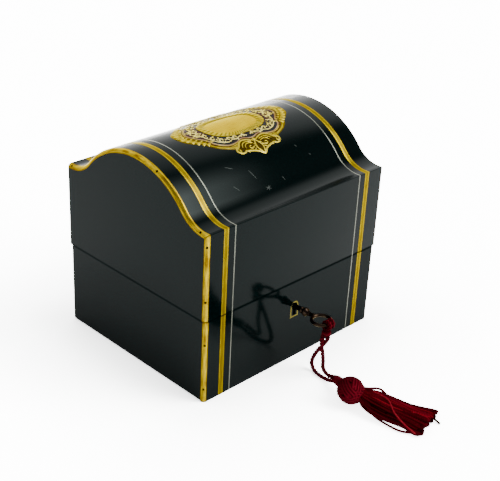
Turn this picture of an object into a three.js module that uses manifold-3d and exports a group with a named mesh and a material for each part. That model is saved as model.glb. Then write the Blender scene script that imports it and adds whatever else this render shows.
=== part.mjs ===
// A dome-lidded perfume casket in black polished wood, inlaid with brass, with its key and tassel.
// Millimetres. X runs left to right along the front, Y from front to back, Z up.
// The origin is the centre of the underside, and the front face looks along -Y.

import * as THREE from 'three';
import { mergeVertices } from 'three/addons/utils/BufferGeometryUtils.js';
import Module from 'manifold-3d';

const wasm = await Module();
wasm.setup();

// Driving dimensions: carcase
const width = 140;              // over the ends of the lid
const depth = 118;              // front face to back face
const baseHeight = 51.5;
const lidGap = 0.4;             // the dark joint between base and lid
const lidSideHeight = 52;       // lid rim up to the shoulder
const domeRise = 25.8;          // shoulder up to the crown
const domeRadius = 53.5;
const shoulderLand = 2.7;       // flat strip between the front edge and the hollow
const wall = 7;
const floorThickness = 6;
const lidOverhang = 0.5;        // how far the lid stands past the base at each end

// Driving dimensions: metalwork
const mouldingRadius = 2.4;     // quarter-round brass on the left arris
const bandInset = 13.6;         // end face to the middle of the brass band
const bandWidth = 3.5;
const lineInset = 20.2;         // end face to the middle of the white metal line
const lineWidth = 0.7;
const inlayThickness = 1;
const inlayClearance = 0.05;    // on each side of a let-in strip
const jointClearance = 0.1;     // between let-in fittings and the wood

// Driving dimensions: cartouche on the crown
const cartoucheX = 1;
const borderLength = 82;        // outer brass border, along X
const borderWidth = 46;         // across the dome, without the crests
const crestReach = 8.5;         // how far each crest stands past the border
const fieldLength = 67;
const fieldWidth = 37;
const rimLength = 44;
const rimWidth = 26;
const plateLength = 35;
const plateWidth = 19;
const cartoucheLine = 0.7;

// Driving dimensions: lock and key
const lockX = 1;
const keyZ = 35.3;
const keyholeRadius = 2.1;
const keyholeSlotWidth = 2.4;
const escutcheonHalfWidth = 3.2;
const escutcheonBottomZ = 28;
const escutcheonLine = 0.9;
const lockWidth = 28;
const lockDepth = 4.2;
const lockBelowRim = 26;
const selvedgeWidth = 36;
const selvedgeThickness = 1.2;
const stapleWidth = 6;
const stapleHalf = 0.5;         // half its thickness
const stapleDrop = 6;           // depth of its slot in the lock
const stapleClearance = 0.6;
const bitPocketDepth = 3;
const keyEndClearance = 0.3;
const shankRadius = 1.5;
const bitReach = 5.4;
const bitThickness = 1.6;
const bitWidth = 2.2;
const knopRadius = 2.6;
const knopOffset = 10.6;        // front face to the middle of the turned knop
const bowRadius = 5.6;          // middle of the ring's wire
const bowWire = 1;
const bowOffset = 20.8;         // front face to the middle of the ring

// Driving dimensions: hinges
const hingeInset = 30;          // end face to the hinge's middle
const hingeLength = 24;
const hingeLeafDepth = 5;
const hingeLeafThickness = 0.8;
const knuckleRadius = 2;
const hingePinRadius = 0.9;
const hingePinClearance = 0.2;
const knuckleGap = 0.4;
const hingeStandOff = 0.4;      // knuckle to the back face

// Driving dimensions: tassel
const cordRadius = 1;
const hitchRadius = 3.8;        // outside of the cord's turns round the ring
const hitchWidth = 5.4;
const hitchSlack = 0.85;        // room for the ring's curve inside the turns
const hitchNeckRadius = 2.6;
const hitchNeckBottomZ = 27.8;
const headRadius = 8.2;
const collarRadius = 2.7;
const collarLength = 6.5;

// The cord's two strands, from the hitch down to the floor and into the tassel's collar
const leftStrand = [
  [0.5, -86.5, 27.4], [0.7, -85.2, 24.6], [0.9, -82.8, 20.6], [0.8, -79.3, 15], [0.9, -76.3, 9],
  [0.9, -75.4, 4.6], [0.3, -77.4, 1.8], [-1, -81.6, 1.2], [-1.6, -86, 1.2], [-2, -91, 1.9],
  [-2.87, -96.45, 4.3],
];
const rightStrand = [
  [-1.9, -84, 27.4], [-1.9, -83.9, 24.4], [-2, -84.2, 21], [-1.5, -84.9, 16.8], [-0.9, -85.2, 11.8],
  [0, -84.8, 6.8], [1, -85.6, 3.4], [1.3, -88.2, 2.2], [0.9, -92, 3.2], [-0.8, -96.4, 6],
];
const collarStart = new THREE.Vector3(-2.1, -97.2, 5.3);
const headCentre = new THREE.Vector3(-7.2, -112, headRadius);

// The skirt of threads: centre, half width and height of each cross-section, first to last
const skirtSections = [
  { x: -3.3, y: -120.2, lift: 2.6, half: 4.4, height: 7.4 },
  { x: -0.9, y: -125.5, lift: 0.6, half: 8, height: 9 },
  { x: 1, y: -134, lift: 0, half: 9, height: 8.2 },
  { x: 3.4, y: -144, lift: 0, half: 10, height: 6.6 },
  { x: 7.6, y: -153.4, lift: 0, half: 12.6, height: 4.8 },
];

// Places that follow from the dimensions above
const baseWidth = width - 2 * lidOverhang;
const frontY = -depth / 2;
const backY = depth / 2;
const lidBottomZ = baseHeight + lidGap;
const shoulderZ = lidBottomZ + lidSideHeight;
const crownZ = shoulderZ + domeRise;
const domeCentreZ = crownZ - domeRadius;
const hollowSteps = 6;
const domeSteps = 24;
const outside = 1;              // how far a cutter reaches past the surface that it cuts
const lockFrontY = frontY + wall - lockDepth;
const bitPocketRadius = bitReach + 0.5;
const hingeAxisY = backY + hingeStandOff + knuckleRadius;
const hingeAxisZ = baseHeight + lidGap / 2;
const hingeAxis = [hingeAxisY, hingeAxisZ];
const leafHeights = {
  base: [baseHeight - hingeLeafThickness, baseHeight],
  lid: [lidBottomZ, lidBottomZ + hingeLeafThickness],
};
const hingeX = width / 2 - hingeInset;
const hingePlaces = [{ name: 'left', x: -hingeX }, { name: 'right', x: hingeX }];

// Materials, each with its own colour
function material(color, roughness, metalness) {
  return new THREE.MeshStandardMaterial({ color, roughness, metalness });
}
const lacquer = material(0x0b0d0d, 0.16, 0);
const brass = material(0xcf9f35, 0.3, 1);
const whiteMetal = material(0xd9d6cc, 0.3, 1);
const shell = material(0x35130c, 0.25, 0);
const darkSteel = material(0x3a332c, 0.35, 1);
const crimson = material(0x6d0714, 0.85, 0);

// A geometry with its vertices shared and its faces turned outwards
function closed(geometry) {
  const bare = new THREE.BufferGeometry();
  bare.setAttribute('position', geometry.getAttribute('position').clone());
  const count = geometry.getAttribute('position').count;
  bare.setIndex(geometry.index ? Array.from(geometry.index.array) : [...Array(count).keys()]);
  const merged = mergeVertices(bare, 1e-4);
  const place = merged.getAttribute('position');
  const corner = (i) => new THREE.Vector3().fromBufferAttribute(place, merged.index.array[i]);
  let volume = 0;
  for (let i = 0; i < merged.index.count; i += 3) {
    volume += corner(i).dot(corner(i + 1).cross(corner(i + 2)));
  }
  if (volume < 0) merged.index.array.reverse();
  return merged;
}

// The same geometry as a solid for cutting and joining, and back
function solid(geometry) {
  const mesh = closed(geometry);
  return new wasm.Manifold(new wasm.Mesh({
    numProp: 3,
    vertProperties: Float32Array.from(mesh.getAttribute('position').array),
    triVerts: Uint32Array.from(mesh.index.array),
  }));
}

function geometryOf(body) {
  const mesh = body.getMesh();
  const geometry = new THREE.BufferGeometry();
  geometry.setAttribute('position', new THREE.BufferAttribute(mesh.vertProperties, 3));
  geometry.setIndex(new THREE.BufferAttribute(mesh.triVerts, 1));
  return geometry;
}

function cut(body, cutters) {
  return cutters.reduce((rest, cutter) => rest.subtract(cutter), body);
}

const casket = new THREE.Group();

function add(name, shape, look) {
  const geometry = shape instanceof THREE.BufferGeometry ? closed(shape) : geometryOf(shape);
  const mesh = new THREE.Mesh(geometry, look);
  mesh.name = name;
  casket.add(mesh);
}

// A box between two corners
function block(low, high) {
  const size = high.map((value, i) => value - low[i]);
  const box = new THREE.BoxGeometry(...size);
  box.translate(...low.map((value, i) => value + size[i] / 2));
  return solid(box);
}

// A round bar along X or Y, between two places on that axis
function bar(radius, from, to, [a, b], axis, sides = 20) {
  const body = new THREE.CylinderGeometry(radius, radius, to - from, sides);
  const middle = (from + to) / 2;
  if (axis === 'x') body.rotateZ(Math.PI / 2).translate(middle, a, b);
  else body.translate(a, middle, b);
  return solid(body);
}

// An outline pushed along X, Y or Z between two places; its two coordinates are the other axes
function pushed(outline, from, to, axis) {
  const [x, y, z] = ['x', 'y', 'z'].map((name) => new THREE.Vector3().setComponent('xyz'.indexOf(name), 1));
  const frames = { x: [y, z, x], y: [x, z, y.clone().negate()], z: [x, y, z] };
  const body = new THREE.ExtrudeGeometry(new THREE.Shape(outline), {
    depth: to - from,
    bevelEnabled: false,
  });
  body.applyMatrix4(new THREE.Matrix4().makeBasis(...frames[axis]));
  const start = axis === 'y' ? to : from;
  body.translate(...['x', 'y', 'z'].map((name) => (name === axis ? start : 0)));
  return solid(body);
}

// Points on an arc, without its first point
function arc(centre, radius, from, to, steps) {
  return Array.from({ length: steps }, (unused, i) => {
    const angle = from + ((to - from) * (i + 1)) / steps;
    return [centre[0] + radius * Math.cos(angle), centre[1] + radius * Math.sin(angle)];
  });
}

// The lid's end profile as [y, z] points, from the front shoulder over the dome to the back one.
// The hollow's radius is the one that meets the land and the dome without a kink.
function topProfile() {
  const land = [frontY + shoulderLand, shoulderZ];
  const fromDome = [land[0], land[1] - domeCentreZ];
  const hollowRadius = (domeRadius ** 2 - fromDome[0] ** 2 - fromDome[1] ** 2)
    / (2 * (fromDome[1] - domeRadius));
  const hollow = [land[0], land[1] + hollowRadius];
  const meeting = Math.atan2(hollow[1] - domeCentreZ, hollow[0]);
  const front = [[frontY, shoulderZ], land,
    ...arc(hollow, hollowRadius, -Math.PI / 2, meeting - Math.PI, hollowSteps)];
  const dome = arc([0, domeCentreZ], domeRadius, meeting, Math.PI - meeting, domeSteps).slice(0, -1);
  const back = front.map(([y, z]) => [-y, z]).reverse();
  return [...front, ...dome, ...back];
}

// A path in the YZ plane with, at each point, the step that goes one millimetre into the wood
function withDepth(points) {
  const inward = points.slice(1).map(([y, z], i) => {
    const [dy, dz] = [y - points[i][0], z - points[i][1]];
    const length = Math.hypot(dy, dz);
    return [dz / length, -dy / length];
  });
  return points.map(([y, z], i) => {
    const before = inward[Math.max(i - 1, 0)];
    const after = inward[Math.min(i, inward.length - 1)];
    const scale = 1 + before[0] * after[0] + before[1] * after[1];
    return { y, z, intoY: (before[0] + after[0]) / scale, intoZ: (before[1] + after[1]) / scale };
  });
}

// The point at a depth under one end of a stretch of path, moved along it by a trim
function under(path, index, towards, deep, trim) {
  const { y, z, intoY, intoZ } = path[index];
  const [dy, dz] = [path[towards].y - y, path[towards].z - z];
  const along = trim / Math.hypot(dy, dz);
  return [y + intoY * deep + dy * along, z + intoZ * deep + dz * along];
}

const basePath = withDepth([[frontY, 0], [frontY, baseHeight]]);
const shellPath = withDepth([[frontY, lidBottomZ], ...topProfile(), [backY, lidBottomZ]]);
const lidPath = withDepth([[frontY, lidBottomZ], ...topProfile()]);
const shoulderIndex = 1;

// A strip along part of a path, with a section of [x, depth] points.
// A trim shortens an end along the path, and a negative one lengthens it.
function strip(path, section, { first = 0, last = path.length - 1, start = 0, end = 0 } = {}) {
  const corners = section.map(([x, deep]) => new THREE.Vector2(x, deep));
  if (THREE.ShapeUtils.isClockWise(corners)) corners.reverse();
  const count = corners.length;
  const points = [];
  for (let i = first; i <= last; i += 1) {
    for (const corner of corners) {
      let place = under(path, i, i === last ? i - 1 : i + 1, corner.y, 0);
      if (i === first) place = under(path, i, i + 1, corner.y, start);
      if (i === last) place = under(path, i, i - 1, corner.y, end);
      points.push(new THREE.Vector3(corner.x, ...place));
    }
  }
  const triangles = [];
  for (let row = 0; row < last - first; row += 1) {
    for (let k = 0; k < count; k += 1) {
      const [a, b] = [row * count + k, row * count + ((k + 1) % count)];
      triangles.push(a, b, b + count, a, b + count, a + count);
    }
  }
  const far = (last - first) * count;
  for (const [a, b, c] of THREE.ShapeUtils.triangulateShape(corners, [])) {
    const turn = THREE.ShapeUtils.area([corners[a], corners[b], corners[c]]) > 0;
    const [p, q, r] = turn ? [a, b, c] : [a, c, b];
    triangles.push(p, r, q, far + p, far + q, far + r);
  }
  const geometry = new THREE.BufferGeometry().setFromPoints(points);
  geometry.setIndex(triangles);
  return solid(geometry);
}

function rectangle(x0, x1, top, bottom) {
  return [[x0, top], [x1, top], [x1, bottom], [x0, bottom]];
}

// The quarter-round moulding's section on the left arris, centred on the rebate's inner corner
function quarterRound(outerX) {
  const steps = 5;
  const centreX = outerX + mouldingRadius;
  const curve = Array.from({ length: steps + 1 }, (unused, i) => {
    const angle = (Math.PI / 2) * (i / steps);
    return [
      centreX - mouldingRadius * Math.cos(angle),
      mouldingRadius - mouldingRadius * Math.sin(angle),
    ];
  });
  return [[centreX, mouldingRadius], ...curve];
}

function rebate(outerX) {
  const size = mouldingRadius + inlayClearance;
  return rectangle(outerX - outside, outerX + size, -outside, size);
}

// The two bands and two lines that run over the front and the dome
const stripes = [-1, 1].flatMap((side) => {
  const end = side < 0 ? 'left' : 'right';
  return [
    { name: `brass_band_${end}`, x: side * (width / 2 - bandInset), half: bandWidth / 2, look: brass },
    { name: `white_line_${end}`, x: side * (width / 2 - lineInset), half: lineWidth / 2, look: whiteMetal },
  ];
});

function stripeGrooves(path) {
  const deep = inlayThickness + inlayClearance;
  const reach = { start: -outside, end: -outside };
  return stripes.map(({ x, half }) => {
    const side = half + inlayClearance;
    return strip(path, rectangle(x - side, x + side, -outside, deep), reach);
  });
}

// A closed outline moved outwards by a distance, corner by corner
function grown(outline, distance) {
  const turn = THREE.ShapeUtils.isClockWise(outline) ? -1 : 1;
  return outline.map((point, i) => {
    const before = outline[(i + outline.length - 1) % outline.length];
    const after = outline[(i + 1) % outline.length];
    const first = point.clone().sub(before).normalize();
    const second = after.clone().sub(point).normalize();
    const normal = new THREE.Vector2(first.y + second.y, -first.x - second.x);
    normal.multiplyScalar((turn * distance) / (1 + first.dot(second)));
    return point.clone().add(normal);
  });
}

// The escutcheon's outline in the XZ plane: an arched top on straight sides
function escutcheonOutline() {
  const start = [lockX + escutcheonHalfWidth, keyZ];
  const top = arc([lockX, keyZ], escutcheonHalfWidth, 0, Math.PI, 12);
  const foot = [
    [lockX - escutcheonHalfWidth, escutcheonBottomZ],
    [lockX + escutcheonHalfWidth, escutcheonBottomZ],
  ];
  return [start, ...top, ...foot].map(([x, z]) => new THREE.Vector2(x, z));
}

function escutcheon(clearance, front, deep) {
  const outer = grown(escutcheonOutline(), clearance);
  const inner = grown(escutcheonOutline(), -escutcheonLine - clearance);
  return pushed(outer, front, deep, 'y').subtract(pushed(inner, front - outside, deep + outside, 'y'));
}

function keyhole() {
  const [from, to] = [frontY - outside, frontY + wall];
  const half = keyholeSlotWidth / 2;
  return bar(keyholeRadius, from, to, [lockX, keyZ], 'y')
    .add(block([lockX - half, from, keyZ - bitPocketRadius], [lockX + half, to, keyZ]));
}

// The lock: a case let into the inside of the front wall, with a selvedge along the rim
function lockBody(clearance, beyond) {
  const front = lockFrontY - clearance;
  const inside = frontY + wall + beyond;
  const half = lockWidth / 2 + clearance;
  const selvedge = selvedgeWidth / 2 + clearance;
  const selvedgeZ = baseHeight - selvedgeThickness - clearance;
  const caseZ = baseHeight - lockBelowRim - clearance;
  return block([lockX - half, front, caseZ], [lockX + half, inside, baseHeight])
    .add(block([lockX - selvedge, front, selvedgeZ], [lockX + selvedge, inside, baseHeight + beyond]));
}

function lock() {
  const middleY = lockFrontY + lockDepth / 2;
  const slot = stapleHalf + stapleClearance;
  return cut(lockBody(0, 0), [
    bar(bitPocketRadius, lockFrontY - outside, lockFrontY + bitPocketDepth, [lockX, keyZ], 'y', 24),
    block(
      [lockX - stapleWidth / 2 - stapleClearance, middleY - slot, baseHeight - stapleDrop],
      [lockX + stapleWidth / 2 + stapleClearance, middleY + slot, baseHeight + outside],
    ),
  ]);
}

// The keep in the lid's rim, with the staple that drops into the lock
function keepPlate(clearance, beyond) {
  const half = selvedgeWidth / 2 + clearance;
  return block(
    [lockX - half, lockFrontY - clearance, lidBottomZ - beyond],
    [lockX + half, frontY + wall + beyond, lidBottomZ + selvedgeThickness + clearance],
  );
}

function keep() {
  const middleY = lockFrontY + lockDepth / 2;
  const staple = block(
    [lockX - stapleWidth / 2, middleY - stapleHalf, baseHeight - stapleDrop + lidGap + stapleClearance],
    [lockX + stapleWidth / 2, middleY + stapleHalf, lidBottomZ + selvedgeThickness],
  );
  return keepPlate(0, 0).add(staple);
}

// The key: a turned shank with a knop, a ring bow lying flat, and the bit turned into the lock
function key() {
  const tip = lockFrontY + bitPocketDepth - keyEndClearance;
  const knop = frontY - knopOffset;
  const neck = shankRadius * 0.85;
  const bowEnd = frontY - bowOffset + bowRadius;
  const turned = new THREE.LatheGeometry([
    [0, tip], [shankRadius, tip], [shankRadius, knop + 3.4], [shankRadius + 0.5, knop + 3],
    [shankRadius + 0.5, knop + 2.4], [shankRadius, knop + 2.1], [knopRadius * 0.85, knop + 1.2],
    [knopRadius, knop], [knopRadius * 0.85, knop - 1.2], [neck, knop - 2], [neck, bowEnd], [0, bowEnd],
  ].map(([r, y]) => new THREE.Vector2(r, y)), 14);
  turned.translate(lockX, 0, keyZ);
  const bow = new THREE.TorusGeometry(bowRadius, bowWire, 8, 24);
  bow.translate(lockX, frontY - bowOffset, keyZ);
  const bit = block(
    [lockX, tip - bitWidth, keyZ - bitThickness / 2],
    [lockX + bitReach, tip, keyZ + bitThickness / 2],
  );
  return solid(turned).add(solid(bow)).add(bit);
}

// A butt hinge's three knuckle places along X, each with the leaf that carries it
function knuckles(x) {
  const each = (hingeLength - 2 * knuckleGap) / 3;
  return [0, 1, 2].map((i) => {
    const from = x - hingeLength / 2 + i * (each + knuckleGap);
    return { from, to: from + each, owner: i === 1 ? 'lid' : 'base' };
  });
}

function hingeLeaf(x, owner) {
  const [low, high] = leafHeights[owner];
  const plate = block(
    [x - hingeLength / 2, backY - hingeLeafDepth, low],
    [x + hingeLength / 2, hingeAxisY, high],
  );
  const places = knuckles(x);
  const swept = places.filter((place) => place.owner !== owner).map(({ from, to }) => (
    bar(knuckleRadius + knuckleGap, from - knuckleGap, to + knuckleGap, hingeAxis, 'x')
  ));
  const own = places.filter((place) => place.owner === owner).map(({ from, to }) => (
    bar(knuckleRadius, from, to, hingeAxis, 'x')
  ));
  const leaf = own.reduce((whole, knuckle) => whole.add(knuckle), cut(plate, swept));
  const hole = hingePinRadius + hingePinClearance;
  return leaf.subtract(bar(hole, x - hingeLength, x + hingeLength, hingeAxis, 'x', 16));
}

function hingeMortise(x, owner) {
  const [low, high] = leafHeights[owner];
  const extra = jointClearance;
  const [below, above] = owner === 'base' ? [extra, outside] : [outside, extra];
  return block(
    [x - hingeLength / 2 - extra, backY - hingeLeafDepth - extra, low - below],
    [x + hingeLength / 2 + extra, backY + outside, high + above],
  );
}

// Base: an open box, with the wood cut away for everything let into it
function baseBox() {
  const left = -baseWidth / 2;
  const body = block([left, frontY, 0], [-left, backY, baseHeight]);
  const inside = block(
    [left + wall, frontY + wall, floorThickness],
    [-left - wall, backY - wall, baseHeight + outside],
  );
  return cut(body, [
    inside,
    strip(basePath, rebate(left), { start: -outside, end: -outside }),
    ...stripeGrooves(basePath),
    escutcheon(inlayClearance, frontY - outside, frontY + inlayThickness + inlayClearance),
    keyhole(),
    lockBody(jointClearance, outside),
    ...hingePlaces.map(({ x }) => hingeMortise(x, 'base')),
  ]);
}

// Lid: the end profile pushed from end to end, hollowed to an even wall
function lidShell() {
  const left = -width / 2;
  const last = shellPath.length - 1;
  const outer = shellPath.map(({ y, z }) => new THREE.Vector2(y, z));
  const inner = shellPath.map((point, i) => {
    const drop = i === 0 || i === last ? -outside : 0;
    return new THREE.Vector2(...under(shellPath, i, i === last ? i - 1 : i + 1, wall, drop));
  });
  return cut(pushed(outer, left, -left, 'x'), [
    pushed(inner, left + wall, -left - wall, 'x'),
    strip(lidPath, rebate(left), { start: -outside, end: -outside }),
    ...stripeGrooves(lidPath),
    cartouchePiece(grown(borderOutline, inlayClearance), null, -outside, inlayThickness + inlayClearance),
    keepPlate(jointClearance, outside),
    ...hingePlaces.map(({ x }) => hingeMortise(x, 'lid')),
  ]);
}

// Cartouche outlines lie in the plan, as shares of half a length and half a width.
// A quarter is drawn from the right end to the front and mirrored to the other three.
function fourfold(quarter, length, across, samples) {
  const [a, b] = [length / 2, across / 2];
  const corner = quarter.map(([u, w]) => [u * a, w * b]);
  const half = [...corner, ...corner.map(([x, y]) => [-x, y]).reverse()];
  const whole = [...half, ...half.map(([x, y]) => [x, -y]).reverse()];
  const curve = new THREE.CatmullRomCurve3(
    whole.map(([x, y]) => new THREE.Vector3(cartoucheX + x, domeRadius * Math.sin(y / domeRadius), 0)),
    true,
    'centripetal',
  );
  return curve.getPoints(samples).slice(0, -1).map(({ x, y }) => new THREE.Vector2(x, y));
}

// An oval with squarish ends
function squaredOval(length, across, samples) {
  const power = 2 / 2.6;
  const share = (value) => Math.sign(value) * Math.abs(value) ** power;
  return Array.from({ length: samples }, (unused, i) => {
    const angle = (2 * Math.PI * i) / samples;
    const y = (across / 2) * share(Math.sin(angle));
    return new THREE.Vector2(
      cartoucheX + (length / 2) * share(Math.cos(angle)),
      domeRadius * Math.sin(y / domeRadius),
    );
  });
}

const crest = (2 * crestReach) / borderWidth;
const borderOutline = fourfold([
  [1, 0.08], [0.97, 0.26], [0.88, 0.42], [0.78, 0.52], [0.72, 0.68], [0.62, 0.82], [0.46, 0.95],
  [0.38, 1.02], [0.36, 1 + 0.35 * crest], [0.24, 1 + 0.5 * crest], [0.14, 1 + 0.66 * crest],
  [0.05, 1 + crest],
], borderLength, borderWidth, 60);
const fieldOutline = fourfold([
  [1, 0.06], [0.92, 0.32], [0.82, 0.52], [0.75, 0.78], [0.55, 1], [0.36, 0.99], [0.2, 0.9], [0.05, 0.98],
], fieldLength, fieldWidth, 44);
const groundOutline = grown(fieldOutline, -cartoucheLine);
const rimOutline = squaredOval(rimLength, rimWidth, 32);
const plateOutline = squaredOval(plateLength, plateWidth, 28);

// One flat inlaid piece: the dome's skin inside an outline, less a hole
function cartouchePiece(outline, hole, top, deep) {
  const span = borderLength;
  const skin = strip(lidPath, rectangle(cartoucheX - span, cartoucheX + span, top, deep));
  const piece = skin.intersect(pushed(outline, domeCentreZ, crownZ + 2 * outside, 'z'));
  return hole ? piece.subtract(pushed(hole, domeCentreZ, crownZ + 2 * outside, 'z')) : piece;
}

// Soft pieces: the cord's hitch on the ring and its two strands
function hitch() {
  const inner = bowWire + hitchSlack;
  const ring = new THREE.LatheGeometry([
    [inner, -0.5], [hitchRadius - 0.6, -0.5], [hitchRadius, -0.3], [hitchRadius, 0.3],
    [hitchRadius - 0.6, 0.5], [inner, 0.5], [inner, -0.5],
  ].map(([r, along]) => new THREE.Vector2(r, along * hitchWidth)), 20);
  const y = frontY - bowOffset - bowRadius + hitchSlack / 2;
  ring.rotateZ(Math.PI / 2).translate(lockX, y, keyZ);
  const top = keyZ - hitchRadius + 0.8;
  const neck = new THREE.CylinderGeometry(hitchNeckRadius, hitchNeckRadius, top - hitchNeckBottomZ, 12);
  neck.rotateX(Math.PI / 2).translate(lockX - 1.3, y - 0.1, (top + hitchNeckBottomZ) / 2);
  return solid(ring).add(solid(neck));
}

function strand(points) {
  const path = new THREE.CatmullRomCurve3(points.map((point) => new THREE.Vector3(...point)));
  const sides = 8;
  const section = Array.from({ length: sides }, (unused, i) => {
    const angle = (2 * Math.PI * i) / sides;
    return new THREE.Vector2(cordRadius * Math.cos(angle), cordRadius * Math.sin(angle));
  });
  return new THREE.ExtrudeGeometry(new THREE.Shape(section), {
    steps: Math.ceil(path.getLength() / (5 * cordRadius)),
    extrudePath: path,
    bevelEnabled: false,
  });
}

// The tassel's head: a bound collar and a knotted ball, turned about one axis
function tasselHead() {
  const axis = headCentre.clone().sub(collarStart);
  const reach = axis.length();
  const meet = Math.asin(collarRadius / headRadius);
  const ball = arc([0, reach], headRadius, meet - Math.PI / 2, Math.PI / 2, 14);
  const profile = [[0, 0], [collarRadius - 0.5, 0], [collarRadius, 0.8], [collarRadius, 2.6],
    [collarRadius - 0.4, 3.4], [collarRadius - 0.4, collarLength],
    ...ball.slice(0, -1), [0, reach + headRadius]];
  const body = new THREE.LatheGeometry(profile.map(([r, along]) => new THREE.Vector2(r, along)), 16);
  const up = new THREE.Vector3(0, 1, 0);
  body.applyQuaternion(new THREE.Quaternion().setFromUnitVectors(up, axis.normalize()));
  body.translate(...collarStart.toArray());
  return body;
}

// The skirt: rounded cross-sections, each square to the line through its neighbours
function tasselSkirt() {
  const sides = 14;
  const count = skirtSections.length;
  const points = skirtSections.flatMap((section, i) => {
    const before = skirtSections[Math.max(i - 1, 0)];
    const after = skirtSections[Math.min(i + 1, count - 1)];
    const length = Math.hypot(after.x - before.x, after.y - before.y);
    const across = [(before.y - after.y) / length, (after.x - before.x) / length];
    return Array.from({ length: sides }, (unused, k) => {
      const angle = (2 * Math.PI * k) / sides;
      const out = section.half * Math.cos(angle);
      const z = section.lift + (section.height / 2) * (1 + Math.sin(angle));
      return new THREE.Vector3(section.x + across[0] * out, section.y + across[1] * out, z);
    });
  });
  const triangles = [];
  for (let row = 0; row < count - 1; row += 1) {
    for (let k = 0; k < sides; k += 1) {
      const [a, b] = [row * sides + k, row * sides + ((k + 1) % sides)];
      triangles.push(a, b, b + sides, a, b + sides, a + sides);
    }
  }
  const far = (count - 1) * sides;
  for (let k = 1; k < sides - 1; k += 1) {
    triangles.push(0, k + 1, k, far, far + k, far + k + 1);
  }
  const geometry = new THREE.BufferGeometry().setFromPoints(points);
  geometry.setIndex(triangles);
  return geometry;
}

// Base and what is let into it
add('base_box', baseBox(), lacquer);
add('base_corner_moulding', strip(basePath, quarterRound(-baseWidth / 2)), brass);
for (const { name, x, half, look } of stripes) {
  add(`base_${name}`, strip(basePath, rectangle(x - half, x + half, 0, inlayThickness)), look);
}
add('escutcheon', escutcheon(0, frontY, frontY + inlayThickness), brass);
add('lock', lock(), brass);
add('key', key(), darkSteel);

// Lid and what is let into it
add('lid_shell', lidShell(), lacquer);
const mitre = inlayClearance;
add(
  'lid_corner_moulding',
  strip(lidPath, quarterRound(-width / 2), { last: shoulderIndex, end: mitre }),
  brass,
);
add(
  'lid_arch_moulding',
  strip(lidPath, quarterRound(-width / 2), { first: shoulderIndex, start: mitre }),
  brass,
);
for (const { name, x, half, look } of stripes) {
  add(`lid_${name}`, strip(lidPath, rectangle(x - half, x + half, 0, inlayThickness)), look);
}
const inset = (outline) => grown(outline, -inlayClearance);
add('cartouche_border', cartouchePiece(borderOutline, fieldOutline, 0, inlayThickness), brass);
add('cartouche_line', cartouchePiece(inset(fieldOutline), groundOutline, 0, inlayThickness), whiteMetal);
add('cartouche_ground', cartouchePiece(inset(groundOutline), rimOutline, 0, inlayThickness), shell);
add('cartouche_rim', cartouchePiece(inset(rimOutline), plateOutline, 0, inlayThickness), brass);
add('cartouche_plate', cartouchePiece(inset(plateOutline), null, 0, inlayThickness), brass);
add('lock_keep', keep(), brass);

// Hinges
for (const { name, x } of hingePlaces) {
  add(`hinge_base_leaf_${name}`, hingeLeaf(x, 'base'), brass);
  add(`hinge_lid_leaf_${name}`, hingeLeaf(x, 'lid'), brass);
  const pin = bar(hingePinRadius, x - hingeLength / 2, x + hingeLength / 2, hingeAxis, 'x', 16);
  add(`hinge_pin_${name}`, pin, brass);
}

// Tassel
add('cord_hitch', hitch(), crimson);
add('tassel_cord_left', strand(leftStrand), crimson);
add('tassel_cord_right', strand(rightStrand), crimson);
add('tassel_head', tasselHead(), crimson);
add('tassel_skirt', tasselSkirt(), crimson);

export default casket;
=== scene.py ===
# %% [markdown]
# # A dome-lidded perfume casket
# The real one is a small box of black polished wood with a domed lid. Brass bands and white lines run
# over it, an engraved cartouche is let into the dome, a brass moulding covers the left arch and the
# front corner, and a crimson tassel hangs from the key. All of it could be modelled afresh here.
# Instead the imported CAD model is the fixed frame, so that every place and motion is already right,
# and this script puts finer pieces where the faceted ones show.
# Lengths are in millimetres until a mesh is made. X runs along the box, Y to its back, Z up.

# %% The frame
import math

import bpy
import numpy as np
from mathutils import Matrix, Vector


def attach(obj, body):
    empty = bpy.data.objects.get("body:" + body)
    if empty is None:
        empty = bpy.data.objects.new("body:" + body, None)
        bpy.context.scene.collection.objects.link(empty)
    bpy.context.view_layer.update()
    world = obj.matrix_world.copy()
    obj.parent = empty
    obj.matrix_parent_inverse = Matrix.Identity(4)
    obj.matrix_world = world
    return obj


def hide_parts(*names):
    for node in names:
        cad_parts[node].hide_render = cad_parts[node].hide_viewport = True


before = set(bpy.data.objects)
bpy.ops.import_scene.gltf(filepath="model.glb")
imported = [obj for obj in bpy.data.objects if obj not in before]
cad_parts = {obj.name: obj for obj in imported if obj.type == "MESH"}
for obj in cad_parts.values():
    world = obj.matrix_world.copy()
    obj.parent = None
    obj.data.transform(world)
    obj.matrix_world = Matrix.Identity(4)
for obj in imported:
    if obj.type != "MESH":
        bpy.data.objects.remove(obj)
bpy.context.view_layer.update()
MM = 0.001
random = np.random.default_rng(11)

# %% [markdown]
# ## Sizes that repeat the CAD's
# The finer pieces have to meet the CAD's pieces without a gap, so both use the same sizes. They could be
# measured from the CAD's meshes, but named values are easier to read and to check.

# %% The box, its lid and its inlay
FRONT_Y = -59.0
BACK_Y = 59.0
HALF_LID = 70.0
HALF_BASE = 69.5
BASE_TOP = 51.5
LID_BOTTOM = 51.9
SEAM_Z = (BASE_TOP + LID_BOTTOM) / 2
SHOULDER_Z = 103.9
CROWN_Z = 129.7
DOME_RADIUS = 53.5
DOME_Z = CROWN_Z - DOME_RADIUS
LAND = 2.7
WALL = 7.0
MOULDING = 2.4
REBATE = 2.45
BAND_X = 56.4
LINE_X = 49.8
CARTOUCHE_X = 1.0
LOCK_X = 1.0
KEY_Z = 35.3
print("box", 2 * HALF_LID, "by", BACK_Y - FRONT_Y, "by", CROWN_Z, "mm")

# %% [markdown]
# ## Camera
# The camera could be placed by eye. Here it was worked out from the box's corners in the photograph,
# so its place and the directions to its right, to its top and into the scene are given as numbers.

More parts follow.
